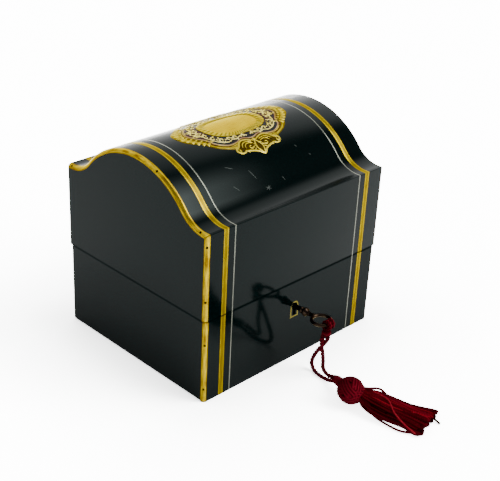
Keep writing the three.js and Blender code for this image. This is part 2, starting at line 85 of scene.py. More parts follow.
# %% The photograph's camera
camera_data = bpy.data.cameras.new("camera")
camera_data.sensor_fit = "HORIZONTAL"
camera_data.sensor_width = 36.0
camera_data.lens = 79.14
camera = bpy.data.objects.new("camera", camera_data)
bpy.context.scene.collection.objects.link(camera)
to_right = Vector((0.711036, -0.701680, 0.045532))
to_top = Vector((0.295450, 0.356895, 0.886191))
to_scene = Vector((0.638073, 0.616662, -0.461076))
camera_place = Vector((-411.207, -418.913, 360.218))
camera_turn = Matrix((to_right, to_top, -to_scene)).transposed().to_4x4()
camera.matrix_world = Matrix.Translation(camera_place * MM) @ camera_turn
bpy.context.scene.camera = camera
print("camera", round(camera_place.length), "mm from the middle of the floor under the box")

# %% [markdown]
# ## Making meshes
# Cords, bent ornament and mouldings that follow a computed curve are quicker and truer as a list of
# points and a list of faces than pulled into shape by hand. So one function turns such lists into a piece:
# it names it, smooths it, gives it its material, lets it ride on its body and says which CAD node it
# replaces. A piece can carry two coordinates per point, along it and across it, and a shade from 0 in
# a hollow to 1 on a ridge, which its material reads. On cords and threads this shade is painted shade
# and painted light. On brass it draws dark joints and engraved lines, and on the moulding, the bands and
# the gadroons it also draws painted shade and painted highlights.

# %% One piece from points and faces
ALL_SMOOTH = 180


def make(name, points, faces, finish, body, replaces=(), along=None, sharp=35, shades=None):
    """A piece in the scene. Edges that turn more than the angle sharp stay sharp."""
    mesh = bpy.data.meshes.new(name)
    in_metres = (np.asarray(points, float) * MM).tolist()
    mesh.from_pydata(in_metres, [], [list(map(int, face)) for face in faces])
    mesh.validate()
    if along is not None:
        layer = mesh.uv_layers.new(name="along")
        corner = np.zeros(len(mesh.loops), np.int32)
        mesh.loops.foreach_get("vertex_index", corner)
        layer.data.foreach_set("uv", np.asarray(along, np.float32)[corner].ravel())
    if shades is not None:
        values = mesh.attributes.new("shade", "FLOAT", "POINT")
        values.data.foreach_set("value", np.asarray(shades, np.float32))
    mesh.polygons.foreach_set("use_smooth", np.ones(len(mesh.polygons), bool))
    mesh.update()
    if sharp < ALL_SMOOTH:
        mesh.set_sharp_from_angle(angle=math.radians(sharp))
    mesh.materials.append(finish)
    piece = bpy.data.objects.new(f"{name}_fine" if replaces else name, mesh)
    bpy.context.scene.collection.objects.link(piece)
    if body:
        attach(piece, body)
    if replaces:
        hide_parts(*replaces)
    print(piece.name, len(mesh.vertices), "points", len(mesh.polygons), "faces")
    return piece


# %% [markdown]
# ### Joining parts and filling a grid
# Parts that belong to one piece are joined by putting their lists one after the other, as Join does.
# Most shapes here are grids: rows of points with a face between each four neighbours.

# %% Joined parts and grids
def merged(parts):
    """Several (points, faces, along) sets as one."""
    points, faces, along, count = [], [], [], 0
    for part in parts:
        points.append(np.asarray(part[0], float))
        faces += [[i + count for i in face] for face in part[1]]
        along.append(np.asarray(part[2], float))
        count += len(part[0])
    return np.vstack(points), faces, np.vstack(along)


def grid_faces(rows, columns, closed):
    """Faces between the rows of a grid; closed joins the last column to the first."""
    faces = []
    for row in range(rows - 1):
        for k in range(columns if closed else columns - 1):
            a, b = row * columns + k, row * columns + (k + 1) % columns
            faces.append((a, b, b + columns, a + columns))
    return faces


# %% [markdown]
# ### Turned parts
# A key's shank and a tassel's ball are turned round an axis. Spin would do it, and this does the same
# with numbers: a ring of points for each radius, and a flat cap at both ends.

# %% A turned part
UPRIGHT = 0.9
TURN_STRETCH = 3


def square_to(axis):
    """A direction square to an axis, whichever way the axis points."""
    helper = np.array([0, 0, 1.0]) if abs(axis[2]) < UPRIGHT else np.array([1.0, 0, 0])
    return np.cross(axis, helper)


def lathe(profile, sides, start, axis):
    """Turned body: profile of (radius, distance along the axis) from one end to the other."""
    axis = np.asarray(axis, float) / np.linalg.norm(axis)
    side = square_to(axis)
    side /= np.linalg.norm(side)
    other = np.cross(axis, side)
    angles = np.linspace(0, 2 * np.pi, sides, endpoint=False)
    points, along = [], []
    for radius, distance in profile:
        for angle in angles:
            outwards = radius * (math.cos(angle) * side + math.sin(angle) * other)
            points.append(np.asarray(start) + axis * distance + outwards)
            along.append((distance, angle * TURN_STRETCH))
    faces = [tuple(reversed(face)) for face in grid_faces(len(profile), sides, True)]
    faces = [list(range(sides))] + faces
    last = (len(profile) - 1) * sides
    faces.append([last + k for k in reversed(range(sides))])
    return np.array(points), faces, np.array(along)


# %% [markdown]
# ### Smooth paths
# A cord's path is a curve through a few points. A Bezier curve object would need its handles set one by
# one. A centripetal spline goes through the points by itself and makes no loops between them.

# %% A path through points
STEPS_BETWEEN = 24


def spline(points, count):
    """A smooth path through points, centripetal, at evenly spaced distances."""
    p = np.asarray(points, float)
    p = np.vstack([2 * p[0] - p[1], p, 2 * p[-1] - p[-2]])
    fine = []
    for i in range(1, len(p) - 2):
        a, b, c, d = p[i - 1 : i + 3]
        t1 = math.sqrt(np.linalg.norm(b - a))
        t2 = t1 + math.sqrt(np.linalg.norm(c - b))
        t3 = t2 + math.sqrt(np.linalg.norm(d - c))
        for t in np.linspace(t1, t2, STEPS_BETWEEN, endpoint=False):
            a1 = (t1 - t) / t1 * a + t / t1 * b
            a2 = (t2 - t) / (t2 - t1) * b + (t - t1) / (t2 - t1) * c
            a3 = (t3 - t) / (t3 - t2) * c + (t - t2) / (t3 - t2) * d
            b1 = (t2 - t) / t2 * a1 + t / t2 * a2
            b2 = (t3 - t) / (t3 - t1) * a2 + (t - t1) / (t3 - t1) * a3
            fine.append((t2 - t) / (t2 - t1) * b1 + (t - t1) / (t2 - t1) * b2)
    fine.append(p[-2])
    fine = np.array(fine)
    steps = np.concatenate([[0], np.cumsum(np.linalg.norm(np.diff(fine, axis=0), axis=1))])
    even = np.linspace(0, steps[-1], count)
    return np.stack([np.interp(even, steps, fine[:, k]) for k in range(fine.shape[1])], 1)


# %% [markdown]
# ### Cords
# A cord is a tube round a path. A curve with a round bevel gives only a plain tube, and the real cords
# here are two plies twisted together, so the tube's section is given two lobes that turn as it goes.

# %% Directions square to a path
def frames_along(path, closed=False):
    """Two directions square to a path at each point, carried along without twisting."""
    ahead = np.gradient(path, axis=0)
    if closed:
        ahead = np.roll(path, -1, 0) - np.roll(path, 1, 0)
    ahead /= np.linalg.norm(ahead, axis=1)[:, None]
    side = square_to(ahead[0])
    sides = []
    for direction in ahead:
        side = side - direction * (side @ direction)
        side /= np.linalg.norm(side)
        sides.append(side)
    sides = np.array(sides)
    return sides, np.cross(ahead, sides)


# %% [markdown]
# ### The tube itself
# At every point of the path lies a ring of points, and neighbouring rings are joined. For a plied cord
# the ring's radius has two lobes, and the ring is turned a little further at every step.

# %% A tube round a path
PLY_GROOVE = 0.66
PLY_ROUNDNESS = 0.7


def tube(path, radius, sides=8, plies=0, pitch=6.0, closed=False):
    """A round or plied cord along a path. The plies twist once in each pitch."""
    path = np.asarray(path, float)
    side, other = frames_along(path, closed)
    steps = np.concatenate([[0], np.cumsum(np.linalg.norm(np.diff(path, axis=0), axis=1))])
    size = np.broadcast_to(radius, len(path))
    points, along = [], []
    for i, centre in enumerate(path):
        twist = 2 * np.pi * steps[i] / pitch if plies else 0
        for k in range(sides):
            angle = 2 * np.pi * k / sides
            reach = size[i]
            if plies:
                lobe = abs(math.cos(plies * angle / 2)) ** PLY_ROUNDNESS
                reach *= PLY_GROOVE + (1 - PLY_GROOVE) * lobe
            turned = angle + twist
            outwards = math.cos(turned) * side[i] + math.sin(turned) * other[i]
            points.append(centre + reach * outwards)
            along.append((steps[i], size[i] * turned))
    faces = grid_faces(len(path), sides, True)
    last = (len(path) - 1) * sides
    if closed:
        for k in range(sides):
            faces.append((last + k, last + (k + 1) % sides, (k + 1) % sides, k))
    else:
        faces.append(list(reversed(range(sides))))
        faces.append([last + k for k in range(sides)])
    return np.array(points), faces, np.array(along)


# %% [markdown]
# ## Materials
# Every finish is a Principled shader with a few nodes before it. They could be wired by hand in the node
# editor. Here one small function adds a node with its settings and links, and each finish below is a
# short list of such nodes. Colours are written as the sRGB hex values that a colour picker shows, and
# one function turns them to the linear values that the shader wants.

# %% Nodes and colours
def linear(code):
    """The linear colour of an sRGB hex value."""
    shares = [int(code[i : i + 2], 16) / 255 for i in (0, 2, 4)]
    return [*(u / 12.92 if u <= 0.04045 else ((u + 0.055) / 1.055) ** 2.4 for u in shares), 1]


def feed(tree, target, inputs):
    """Gives each named socket a link, where the value is a node's output, or a constant."""
    for key, value in inputs.items():
        if isinstance(value, bpy.types.NodeSocket):
            tree.links.new(value, target.inputs[key])
        else:
            target.inputs[key].default_value = value


def node(tree, kind, inputs, stops=(), **settings):
    """Adds a node with its links, constants and settings. A colour ramp takes its stops too."""
    made = tree.nodes.new(kind)
    for key, value in settings.items():
        setattr(made, key, value)
    feed(tree, made, inputs)
    if stops:
        elements = made.color_ramp.elements
        while len(elements) < len(stops):
            elements.new(0.5)
        for element, (position, colour) in zip(elements, stops):
            element.position = position
            element.color = linear(colour) if isinstance(colour, str) else (colour, colour, colour, 1)
    return made


def principled(name):
    """A new material, its node tree and its shader."""
    material = bpy.data.materials.new(name)
    material.use_nodes = True
    return material, material.node_tree, material.node_tree.nodes["Principled BSDF"]


# %% [markdown]
# ### Where a pattern sits
# A pattern needs coordinates that don't slide when the lid turns. Object coordinates stay with the piece,
# and here they are turned to millimetres. On strips, cords and threads a pattern has to follow the piece,
# so those read the coordinates that were stored along it.

# %% Coordinates in millimetres
def place(tree):
    """Position on the object in millimetres."""
    source = node(tree, "ShaderNodeTexCoord", {})
    scale = (1 / MM, 1 / MM, 1 / MM)
    mapping = node(tree, "ShaderNodeMapping", {"Vector": source.outputs["Object"], "Scale": scale})
    return mapping.outputs["Vector"]


def along_place(tree, scale):
    """Coordinates along and across the piece, in millimetres, stretched by scale."""
    source = node(tree, "ShaderNodeUVMap", {}, uv_map="along")
    mapping = node(tree, "ShaderNodeMapping", {"Vector": source.outputs["UV"], "Scale": scale})
    return mapping.outputs["Vector"]


def distance_from(tree, value, level):
    """How far a value is from a level, either way."""
    apart = node(tree, "ShaderNodeMath", {0: value, 1: level}, operation="SUBTRACT").outputs[0]
    return node(tree, "ShaderNodeMath", {0: apart}, operation="ABSOLUTE").outputs[0]


# %% [markdown]
# ### The scratches in the polish
# The real dome has a few short pale scratches and specks where it has been knocked. They could be
# painted on a picture, but a script reads no picture. So each is a thin box in space, given by its two
# ends as a place along the box and a distance over the dome, and the polish is paler inside it.

# %% Nine short scratches
SCRATCHES = (
    (-31.0, -30.9, -26.3, -33.5), (-17.4, -37.0, -14.9, -43.5), (-12.0, -49.3, -8.6, -51.3),
    (-12.3, -51.0, -8.3, -49.4), (-9.6, -48.9, -10.7, -51.8), (-32.7, -42.8, -29.6, -46.2),
    (2.8, -46.7, 3.6, -49.4), (23.3, -31.8, 24.4, -33.5), (29.2, -39.8, 30.6, -40.9),
)
SCRATCH_WIDTH = 0.34
SCRATCH_DEPTH = 1.5


def on_dome(x, s, rise):
    """Points of the dome, from x, the distance s over the dome from its crown, and the height over it."""
    angle = np.asarray(s) / DOME_RADIUS
    reach = DOME_RADIUS + np.asarray(rise)
    return np.stack([np.asarray(x), reach * np.sin(angle), DOME_Z + reach * np.cos(angle)], -1)


def scratched(tree, spot):
    """1 on the few scratches of the lid's front half, 0 elsewhere."""
    nearest = None
    for x0, s0, x1, s1 in SCRATCHES:
        start, end = Vector(on_dome(x0, s0, 0.0)), Vector(on_dome(x1, s1, 0.0))
        middle = (start + end) / 2
        run = (end - start).normalized()
        outward = Vector((0, middle.y, middle.z - DOME_Z)).normalized()
        apart = node(tree, "ShaderNodeVectorMath", {0: spot, 1: middle}, operation="SUBTRACT")
        offset = apart.outputs["Vector"]
        reach = None
        for axis, size in (
            (run, (end - start).length / 2),
            (run.cross(outward), SCRATCH_WIDTH / 2),
            (outward, SCRATCH_DEPTH),
        ):
            share = node(tree, "ShaderNodeVectorMath", {0: offset, 1: axis / size}, operation="DOT_PRODUCT")
            share = node(tree, "ShaderNodeMath", {0: share.outputs["Value"]}, operation="ABSOLUTE").outputs[0]
            if reach is not None:
                share = node(tree, "ShaderNodeMath", {0: reach, 1: share}, operation="MAXIMUM").outputs[0]
            reach = share
        if nearest is not None:
            reach = node(tree, "ShaderNodeMath", {0: nearest, 1: reach}, operation="MINIMUM").outputs[0]
        nearest = reach
    return node(tree, "ShaderNodeValToRGB", {"Fac": nearest}, [(0.6, 1.0), (1.0, 0.0)]).outputs["Color"]


# %% [markdown]
# ### Black polish
# The wood is stained black and French polished: shellac rubbed on in many thin layers. It gives the eye
# a near-black ground with a soft reflection that swims a little, because the wood under it isn't quite
# flat. One glossy layer could do it. Two are used, because the real one shows a faint broad sheen and
# over it a sharper reflection: the shader's own weak specular, and a thin coat. The joint between lid and
# base and the shoulder's edges gather dust and lose their polish, so the coat fades out along them.

# %% Black polish
JOINT_WIDTH = 0.8
SHOULDER_WIDTH = 0.4
WEAR_SIZE = 3.0
SWIM_SIZE = 22.0
COAT = 0.025
POLISH_SPECULAR = 0.0022
print("the coat is gone within", JOINT_WIDTH, "mm of the joint")


def dulled_edges(tree, spot):
    """0 on the joint and on the shoulder's front and back edges, 1 elsewhere."""
    axes = node(tree, "ShaderNodeSeparateXYZ", {0: spot}).outputs
    seam = distance_from(tree, axes["Z"], SEAM_Z)
    at_shoulder = distance_from(tree, axes["Z"], SHOULDER_Z)
    off_centre = distance_from(tree, axes["Y"], 0.0)
    inwards = node(tree, "ShaderNodeMath", {
        0: BACK_Y - 1.0, 1: off_centre,
    }, operation="SUBTRACT").outputs[0]
    shoulder = node(tree, "ShaderNodeMath", {0: at_shoulder, 1: inwards}, operation="MAXIMUM").outputs[0]
    narrower = JOINT_WIDTH - SHOULDER_WIDTH
    shoulder = node(tree, "ShaderNodeMath", {0: shoulder, 1: narrower}, operation="ADD").outputs[0]
    nearest = node(tree, "ShaderNodeMath", {0: seam, 1: shoulder}, operation="MINIMUM").outputs[0]
    stops = [(JOINT_WIDTH, 0.0), (1.0, 1.0)]
    return node(tree, "ShaderNodeValToRGB", {"Fac": nearest}, stops).outputs["Color"]


# %% [markdown]
# ### The polish itself
# Colour, roughness, coat and relief each come from one small chain of nodes. The roughness varies with
# the wear over 3 mm, and the surface swims over 22 mm, as rubbed shellac does on wood.

# %% The polish as a material
def black_polish():
    """Near black, with soft unevenness, dull joints and a few scratches."""
    material, tree, shader = principled("black_polish")
    spot = place(tree)
    colour = node(tree, "ShaderNodeMixRGB", {
        "Fac": scratched(tree, spot), "Color1": linear("000101"), "Color2": linear("1d1f1e"),
    })
    wear = node(tree, "ShaderNodeTexNoise", {
        "Vector": spot, "Scale": 1 / WEAR_SIZE, "Detail": 5.0, "Roughness": 0.65,
    })
    rough = node(tree, "ShaderNodeMapRange", {"Value": wear.outputs["Fac"], "To Min": 0.09, "To Max": 0.2})
    coat = node(tree, "ShaderNodeMath", {0: dulled_edges(tree, spot), 1: COAT}, operation="MULTIPLY")
    swim = node(tree, "ShaderNodeTexNoise", {
        "Vector": spot, "Scale": 1 / SWIM_SIZE, "Detail": 2.0, "Roughness": 0.5,
    })
    relief = node(tree, "ShaderNodeBump", {
        "Height": swim.outputs["Fac"], "Distance": 0.06 * MM, "Strength": 0.35,
    })
    feed(tree, shader, {
        "Base Color": colour.outputs["Color"],
        "Roughness": rough.outputs["Result"],
        "Metallic": 0.0,
        "Specular IOR Level": POLISH_SPECULAR,
        "Specular Tint": (0.0, 1.0, 0.8, 1),
        "Coat Weight": coat.outputs[0],
        "Coat IOR": 1.5,
        "Coat Roughness": 0.1,
        "Normal": relief.outputs["Normal"],
    })
    return material


lacquer = black_polish()
print(lacquer.name, len(lacquer.node_tree.nodes), "nodes")

# %% [markdown]
# ### Brass
# The bands, mouldings and plates are sheet and drawn brass, rubbed lengthwise with a fine abrasive and
# then left to tarnish. That gives the eye fine streaks along each piece and darker brown patches where
# fingers don't rub. A plain yellow metal would look new. So a stretched noise draws the streaks, a round
# one the patches, and together they pick the colour. Where a piece has engraved lines, a dark edge or
# painted shade, the shade stored on its points mixes in a brown. The real streaks are far finer than a
# pixel, so they are drawn 8 mm long and 0.3 mm wide. The hex values are dark, because the window that
# the metal reflects is many times brighter than white.

# %% Brass of several colours
# A brown for engraved gaps and dark joints, and for the painted shade on the moulding, the bands and the
# gadroons.
GAP_AND_SHADE_BROWN = "0a0301"
STREAK_SCALE = (0.12, 3.2, 1.0)
BRASS_PATCH = 7.5
BRASS_EDGE_TINT = (0.7, 0.62, 0.36, 1)


def rubbed_brass(name, bright, dark, rough, pale, gap_and_shade=None):
    """Brass that runs from dark over bright to pale. Given a brown for gaps and painted shade, a point's
    shade mixes it in.
    """
    material, tree, shader = principled(name)
    streaks = node(tree, "ShaderNodeTexNoise", {
        "Vector": along_place(tree, STREAK_SCALE), "Scale": 1.0, "Detail": 4.0, "Roughness": 0.5,
    }).outputs["Fac"]
    patches = node(tree, "ShaderNodeTexNoise", {
        "Vector": place(tree), "Scale": 1 / BRASS_PATCH, "Detail": 5.0, "Roughness": 0.6,
    }).outputs["Fac"]
    twice = node(tree, "ShaderNodeMath", {0: streaks, 1: 2.0}, operation="MULTIPLY").outputs[0]
    tarnish = node(tree, "ShaderNodeMath", {0: twice, 1: patches}, operation="ADD").outputs[0]
    third = node(tree, "ShaderNodeMath", {0: tarnish, 1: 3.0}, operation="DIVIDE").outputs[0]
    stops = [(0.38, dark), (0.48, bright), (0.62, pale)]
    colour = node(tree, "ShaderNodeValToRGB", {"Fac": third}, stops).outputs["Color"]
    if gap_and_shade:
        shade = node(tree, "ShaderNodeAttribute", {}, attribute_name="shade").outputs["Fac"]
        mixed = node(tree, "ShaderNodeMixRGB", {"Fac": shade, "Color1": linear(gap_and_shade), "Color2": colour})
        colour = mixed.outputs["Color"]
    brushed = node(tree, "ShaderNodeMapRange", {
        "Value": streaks, "To Min": rough * 0.7, "To Max": rough * 1.5,
    })
    relief = node(tree, "ShaderNodeBump", {"Height": streaks, "Distance": 0.03 * MM, "Strength": 0.5})
    feed(tree, shader, {
        "Base Color": colour,
        "Roughness": brushed.outputs["Result"],
        "Metallic": 1.0,
        "Specular Tint": BRASS_EDGE_TINT,
        "Normal": relief.outputs["Normal"],
    })
    print(name, len(tree.nodes), "nodes")
    return material


moulding_brass = rubbed_brass("moulding_brass", "4c3e01", "2c1901", 0.28, "665602", GAP_AND_SHADE_BROWN)
band_brass = rubbed_brass("band_brass", "4a3e01", "382a01", 0.33, "594d03", GAP_AND_SHADE_BROWN)
inlay_brass = rubbed_brass("inlay_brass", "524812", "3f3407", 0.28, "655b24", GAP_AND_SHADE_BROWN)
leaf_brass = rubbed_brass("leaf_brass", "655c30", "4b4016", 0.28, "7c7650", GAP_AND_SHADE_BROWN)
plate_brass = rubbed_brass("plate_brass", "524402", "483a01", 0.22, "5d4f07")
fitting_brass = rubbed_brass("fitting_brass", "3c3010", "271b05", 0.3, "3c3010")
line_brass = rubbed_brass("line_brass", "2e2b1a", "17150a", 0.35, "2e2b1a")

# %% [markdown]
# ### White metal and steel
# The thin lines are a white alloy, filed flush and polished with the wood. The key is steel, and the
# pins' heads are steel that has gone almost black. Their marks are too small to see, so one cloudy
# noise that varies the colour is enough. The white line's gloss is broken by tiny pits, so it is
# made a little less metallic than a clean one.

# %% White metal and steel
METAL_PATCH = 4.5


def clouded_metal(name, colour, dark, rough, metallic=1.0):
    """A metal whose colour drifts between two values."""
    material, tree, shader = principled(name)
    patches = node(tree, "ShaderNodeTexNoise", {
        "Vector": place(tree), "Scale": 1 / METAL_PATCH, "Detail": 5.0, "Roughness": 0.6,
    })
    stops = [(0.35, dark), (0.7, colour)]
    mixed = node(tree, "ShaderNodeValToRGB", {"Fac": patches.outputs["Fac"]}, stops)
    feed(tree, shader, {
        "Base Color": mixed.outputs["Color"],
        "Roughness": rough,
        "Metallic": metallic,
        "Specular Tint": (0.5, 0.48, 0.42, 1),
    })
    print(name, len(tree.nodes), "nodes")
    return material


white_metal = clouded_metal("polished_white_metal", "2b2d27", "191b16", 0.3, 0.6)
dark_steel = clouded_metal("darkened_steel", "16100b", "050303", 0.3)
pin_steel = clouded_metal("pin_steel", "030101", "030101", 0.5)
pale_line = clouded_metal("pale_line", "594c3c", "423022", 0.25)

# %% [markdown]
# ### Shell
# The cartouche's ground is a thin leaf of tortoiseshell over red, under the same polish as the wood. It
# gives the eye a deep red-brown that clouds into black. Light that goes into the shell could be traced,
# but at this size a cloudy colour under a thin coat looks the same.

# %% Shell
CLOUD_SIZE = 3.8


def polished_shell():
    """Red-brown clouds under a thin coat."""
    material, tree, shader = principled("shell_ground")
    clouds = node(tree, "ShaderNodeTexNoise", {
        "Vector": place(tree), "Scale": 1 / CLOUD_SIZE, "Detail": 4.0, "Roughness": 0.6,
    })
    stops = [(0.35, "020101"), (0.7, "1d0704")]
    colour = node(tree, "ShaderNodeValToRGB", {"Fac": clouds.outputs["Fac"]}, stops)
    feed(tree, shader, {
        "Base Color": colour.outputs["Color"],
        "Roughness": 0.15,
        "Metallic": 0.0,
        "Specular IOR Level": 0.001,
        "Coat Weight": 0.02,
        "Coat Roughness": 0.15,
    })
    print(material.name, len(tree.nodes), "nodes")
    return material


shell_red = polished_shell()

# %% [markdown]
# ### Silk
# The tassel and its cords are dyed silk, twisted for the cords and left loose in the skirt. Silk gives the
# eye a bright glint on each ridge and almost black hollows. Both are painted here: the shader's own
# specular is off, and the shade stored on each point paints the hollows dark and the glint on the ridges,
# because the light alone would leave the hollows too pale at this size. A real fibre is about 0.01 mm
# thick, too fine to show even from near, so the fibres are drawn 0.07 mm wide and 1 mm long.

# %% Silk
FIBRE_SCALE = (0.5, 7.0, 1.0)
FIBRE_SIZE = 0.5


def dyed_silk(name, painted_glint, light, middle, dark):
    """Silk with fine fibres along it, with painted shade where a point's shade is low and a painted glint
    where it is high.
    """
    material, tree, shader = principled(name)
    fibres = node(tree, "ShaderNodeTexNoise", {
        "Vector": along_place(tree, FIBRE_SCALE), "Scale": 1 / FIBRE_SIZE, "Detail": 3.0, "Roughness": 0.5,
    }).outputs["Fac"]
    spread = node(tree, "ShaderNodeMapRange", {"Value": fibres, "To Min": -0.25, "To Max": 0.25})
    shade = node(tree, "ShaderNodeAttribute", {}, attribute_name="shade")
    total = node(tree, "ShaderNodeMath", {
        0: spread.outputs["Result"], 1: shade.outputs["Fac"],
    }, operation="ADD")
    # The top stop is a painted glint, and the lowest stops are painted shade.
    stops = [(0.0, dark), (0.55, middle), (0.85, light), (1.0, painted_glint)]
    colour = node(tree, "ShaderNodeValToRGB", {"Fac": total.outputs[0]}, stops)
    relief = node(tree, "ShaderNodeBump", {"Height": fibres, "Distance": 0.06 * MM, "Strength": 0.6})
    feed(tree, shader, {
        "Base Color": colour.outputs["Color"],
        "Roughness": 0.6,
        "Metallic": 0.0,
        "Specular IOR Level": 0.0,
        "Normal": relief.outputs["Normal"],
    })
    print(name, len(tree.nodes), "nodes")
    return material


crimson_cord = dyed_silk("crimson_cord", "42191b", "2b0307", "1b0103", "030000")
crimson_thread = dyed_silk("crimson_thread", "481619", "350307", "1f0103", "030000")

# %% [markdown]
# ## The cord
# Two strands leave the hitch on the key's ring, go down to the floor and into the tassel's collar. A cloth
# simulation could lay them, but they wouldn't fall as in the photograph. So each is a path through points
# that were placed on the picture, with a twisted tube round it. Where the tube would dip under
# the floor it is pressed flat on it.

# %% The two strands
left_points = [
    (0.5, -86.5, 27.4), (0.7, -85.2, 24.6), (0.9, -82.8, 20.6), (0.8, -79.3, 15), (0.9, -76.3, 9),
    (0.9, -75.4, 4.6), (0.3, -77.4, 1.8), (-1, -81.6, 1.2), (-1.6, -86, 1.2), (-2, -91, 1.9),
    (-2.87, -96.45, 4.3),
]
right_points = [
    (-1.9, -84, 27.4), (-1.9, -83.9, 24.4), (-2, -84.2, 21), (-1.5, -84.9, 16.8), (-0.9, -85.2, 11.8),
    (0, -84.8, 6.8), (1, -85.6, 3.4), (1.3, -88.2, 2.2), (0.9, -92, 3.2), (-0.8, -96.4, 6),
]
STRAND_RADIUS = 1.3
STRAND_PITCH = 4.8
STRAND_STEPS = 120
FLOOR_CLEARANCE = 0.02


def ply_shades(path, points, radius):
    """Painted light on the plies and painted shade in the groove between them, which starts at 0.72 of the
    radius.
    """
    rows = np.repeat(path, len(points) // len(path), axis=0)
    share = np.linalg.norm(points - rows, axis=1) / radius
    return 0.75 * np.clip((share - 0.72) / 0.24, 0, 1) - 0.05


def strand(name, points):
    """One strand of the cord: its piece, its path and its length."""
    path = spline(points, STRAND_STEPS)
    shape, faces, along = tube(path, STRAND_RADIUS, 20, plies=2, pitch=STRAND_PITCH)
    shape[:, 2] = np.maximum(shape[:, 2], FLOOR_CLEARANCE)
    shades = ply_shades(path, shape, STRAND_RADIUS)
    piece = make(name, shape, faces, crimson_cord, "base", (name,), along, ALL_SMOOTH, shades)
    length = float(np.linalg.norm(np.diff(path, axis=0), axis=1).sum())
    print(name, round(length, 1), "mm long")
    return piece, path, length


left_cord, left_path, left_length = strand("tassel_cord_left", left_points)
right_cord, right_path, right_length = strand("tassel_cord_right", right_points)

# %% [markdown]
# ## The lid's profile
# Seen from its end, the lid rises to a flat shoulder, a hollow and a dome. Its bands, lines and moulding
# all follow this outline, so it is worked out once, as a path in the YZ plane, with the step at
# each point that goes one millimetre into the wood. Tracing it by hand would leave gaps.

# %% The outline of lid and base
HOLLOW_STEPS = 22
DOME_STEPS = 130


def arc(centre, radius, start, end, steps):
    """Points of a circle from one angle to another, without the first."""
    angles = start + (end - start) * np.arange(1, steps + 1) / steps
    return [(centre[0] + radius * math.cos(a), centre[1] + radius * math.sin(a)) for a in angles]


def top_profile():
    """The lid's top from the front shoulder over the dome to the back shoulder."""
    land = (FRONT_Y + LAND, SHOULDER_Z)
    rise = land[1] - DOME_Z
    hollow_radius = (DOME_RADIUS**2 - land[0] ** 2 - rise**2) / (2 * (rise - DOME_RADIUS))
    hollow = (land[0], land[1] + hollow_radius)
    meeting = math.atan2(hollow[1] - DOME_Z, hollow[0])
    curve = arc(hollow, hollow_radius, -math.pi / 2, meeting - math.pi, HOLLOW_STEPS)
    front = [(FRONT_Y, SHOULDER_Z), land, *curve]
    dome = arc((0, DOME_Z), DOME_RADIUS, meeting, math.pi - meeting, DOME_STEPS)[:-1]
    return [*front, *dome, *[(-y, z) for y, z in reversed(front)]]


def with_depth(points):
    """A path with the step at each point that goes one millimetre square into the wood."""
    p = np.asarray(points, float)
    step = np.diff(p, axis=0)
    step /= np.linalg.norm(step, axis=1)[:, None]
    inward = np.stack([step[:, 1], -step[:, 0]], 1)
    before = np.vstack([inward[:1], inward])
    after = np.vstack([inward, inward[-1:]])
    scale = 1 + (before * after).sum(1)
    return p, (before + after) / scale[:, None]


lid_path, lid_inward = with_depth([(FRONT_Y, LID_BOTTOM), *top_profile()])
base_path, base_inward = with_depth([(FRONT_Y, 0.0), (FRONT_Y, BASE_TOP)])
SHOULDER = 1
print("lid outline", len(lid_path), "points")

# %% [markdown]
# ## Bands, lines and moulding
# On the real box, strips of brass and white metal are let into grooves, and a quarter-round brass moulding
# is pinned over the left corner. Each is one section drawn along the outline. Blender's curve with a
# bevel object could do it, but it rounds the shoulder's corner. So the section is set at each point of the
# path and mitred there. The section's points carry tones that the brass reads. They are dark at the edges,
# along the joint with the wood. On the bands they make two bright lines with a duller middle, a painted
# reflection of the window in the crowned metal. On the moulding they give painted shade to the side that
# faces the end and a painted highlight to the side that faces the front and the top.

# %% A strip along the outline
END_LINE = 0.5
ROW_LENGTH = 2.0


def strip(path, inward, section, tones, first=0, last=None, start=0.0, end=0.0):
    """A strip along part of a path, with a section of (x, depth) points, outside first.

    tones holds the shade of each point of the section: dark joints, and painted light and shade. The two ends
    are dark."""
    last = len(path) - 1 if last is None else last
    p, d = path[first : last + 1].copy(), inward[first : last + 1]
    ahead = p[1] - p[0]
    p[0] = p[0] + ahead / np.linalg.norm(ahead) * start
    ahead = p[-2] - p[-1]
    p[-1] = p[-1] + ahead / np.linalg.norm(ahead) * end
    long = [(p[0], d[0])]
    for i in range(1, len(p)):
        parts = max(1, round(np.linalg.norm(p[i] - p[i - 1]) / ROW_LENGTH))
        for k in range(1, parts + 1):
            share = k / parts
            long.append((p[i - 1] + (p[i] - p[i - 1]) * share, d[i - 1] + (d[i] - d[i - 1]) * share))
    dark_rows = []
    for outer, inner in ((long[0], long[1]), (long[-1], long[-2])):
        share = END_LINE / np.linalg.norm(inner[0] - outer[0])
        dark_rows.append((outer[0] + (inner[0] - outer[0]) * share, outer[1] + (inner[1] - outer[1]) * share))
    long = [long[0], dark_rows[0], *long[1:-1], dark_rows[1], long[-1]]
    points, along, shades, travelled = [], [], [], 0.0
    for i, (place_yz, into) in enumerate(long):
        if i:
            travelled += np.linalg.norm(place_yz - long[i - 1][0])
        shades.append(np.asarray(tones) * (0.0 if i in (0, len(long) - 1) else 1.0))
        for x, deep in section:
            y, z = place_yz + into * deep
            points.append((x, y, z))
            along.append((travelled, x - section[0][0] + deep))
    count = len(section)
    faces = [tuple(reversed(face)) for face in grid_faces(len(long), count, True)]
    faces.append(list(range(count)))
    faces.append([(len(long) - 1) * count + k for k in reversed(range(count))])
    return np.array(points), faces, np.array(along), np.concatenate(shades)


def laid(name, shape, metal, owner, sharp):
    """A strip as a piece that takes the place of the CAD's strip of the same name."""
    points, faces, along, shades = shape
    make(name, points, faces, metal, owner, (name,), along, sharp, shades)


# %% [markdown]
# ### Bands and lines
# Each stands a fiftieth of a millimetre proud of the wood and is crowned a little, because wood shrinks
# and metal doesn't. The lid's and the base's strips are separate pieces, so that they part as the lid opens.

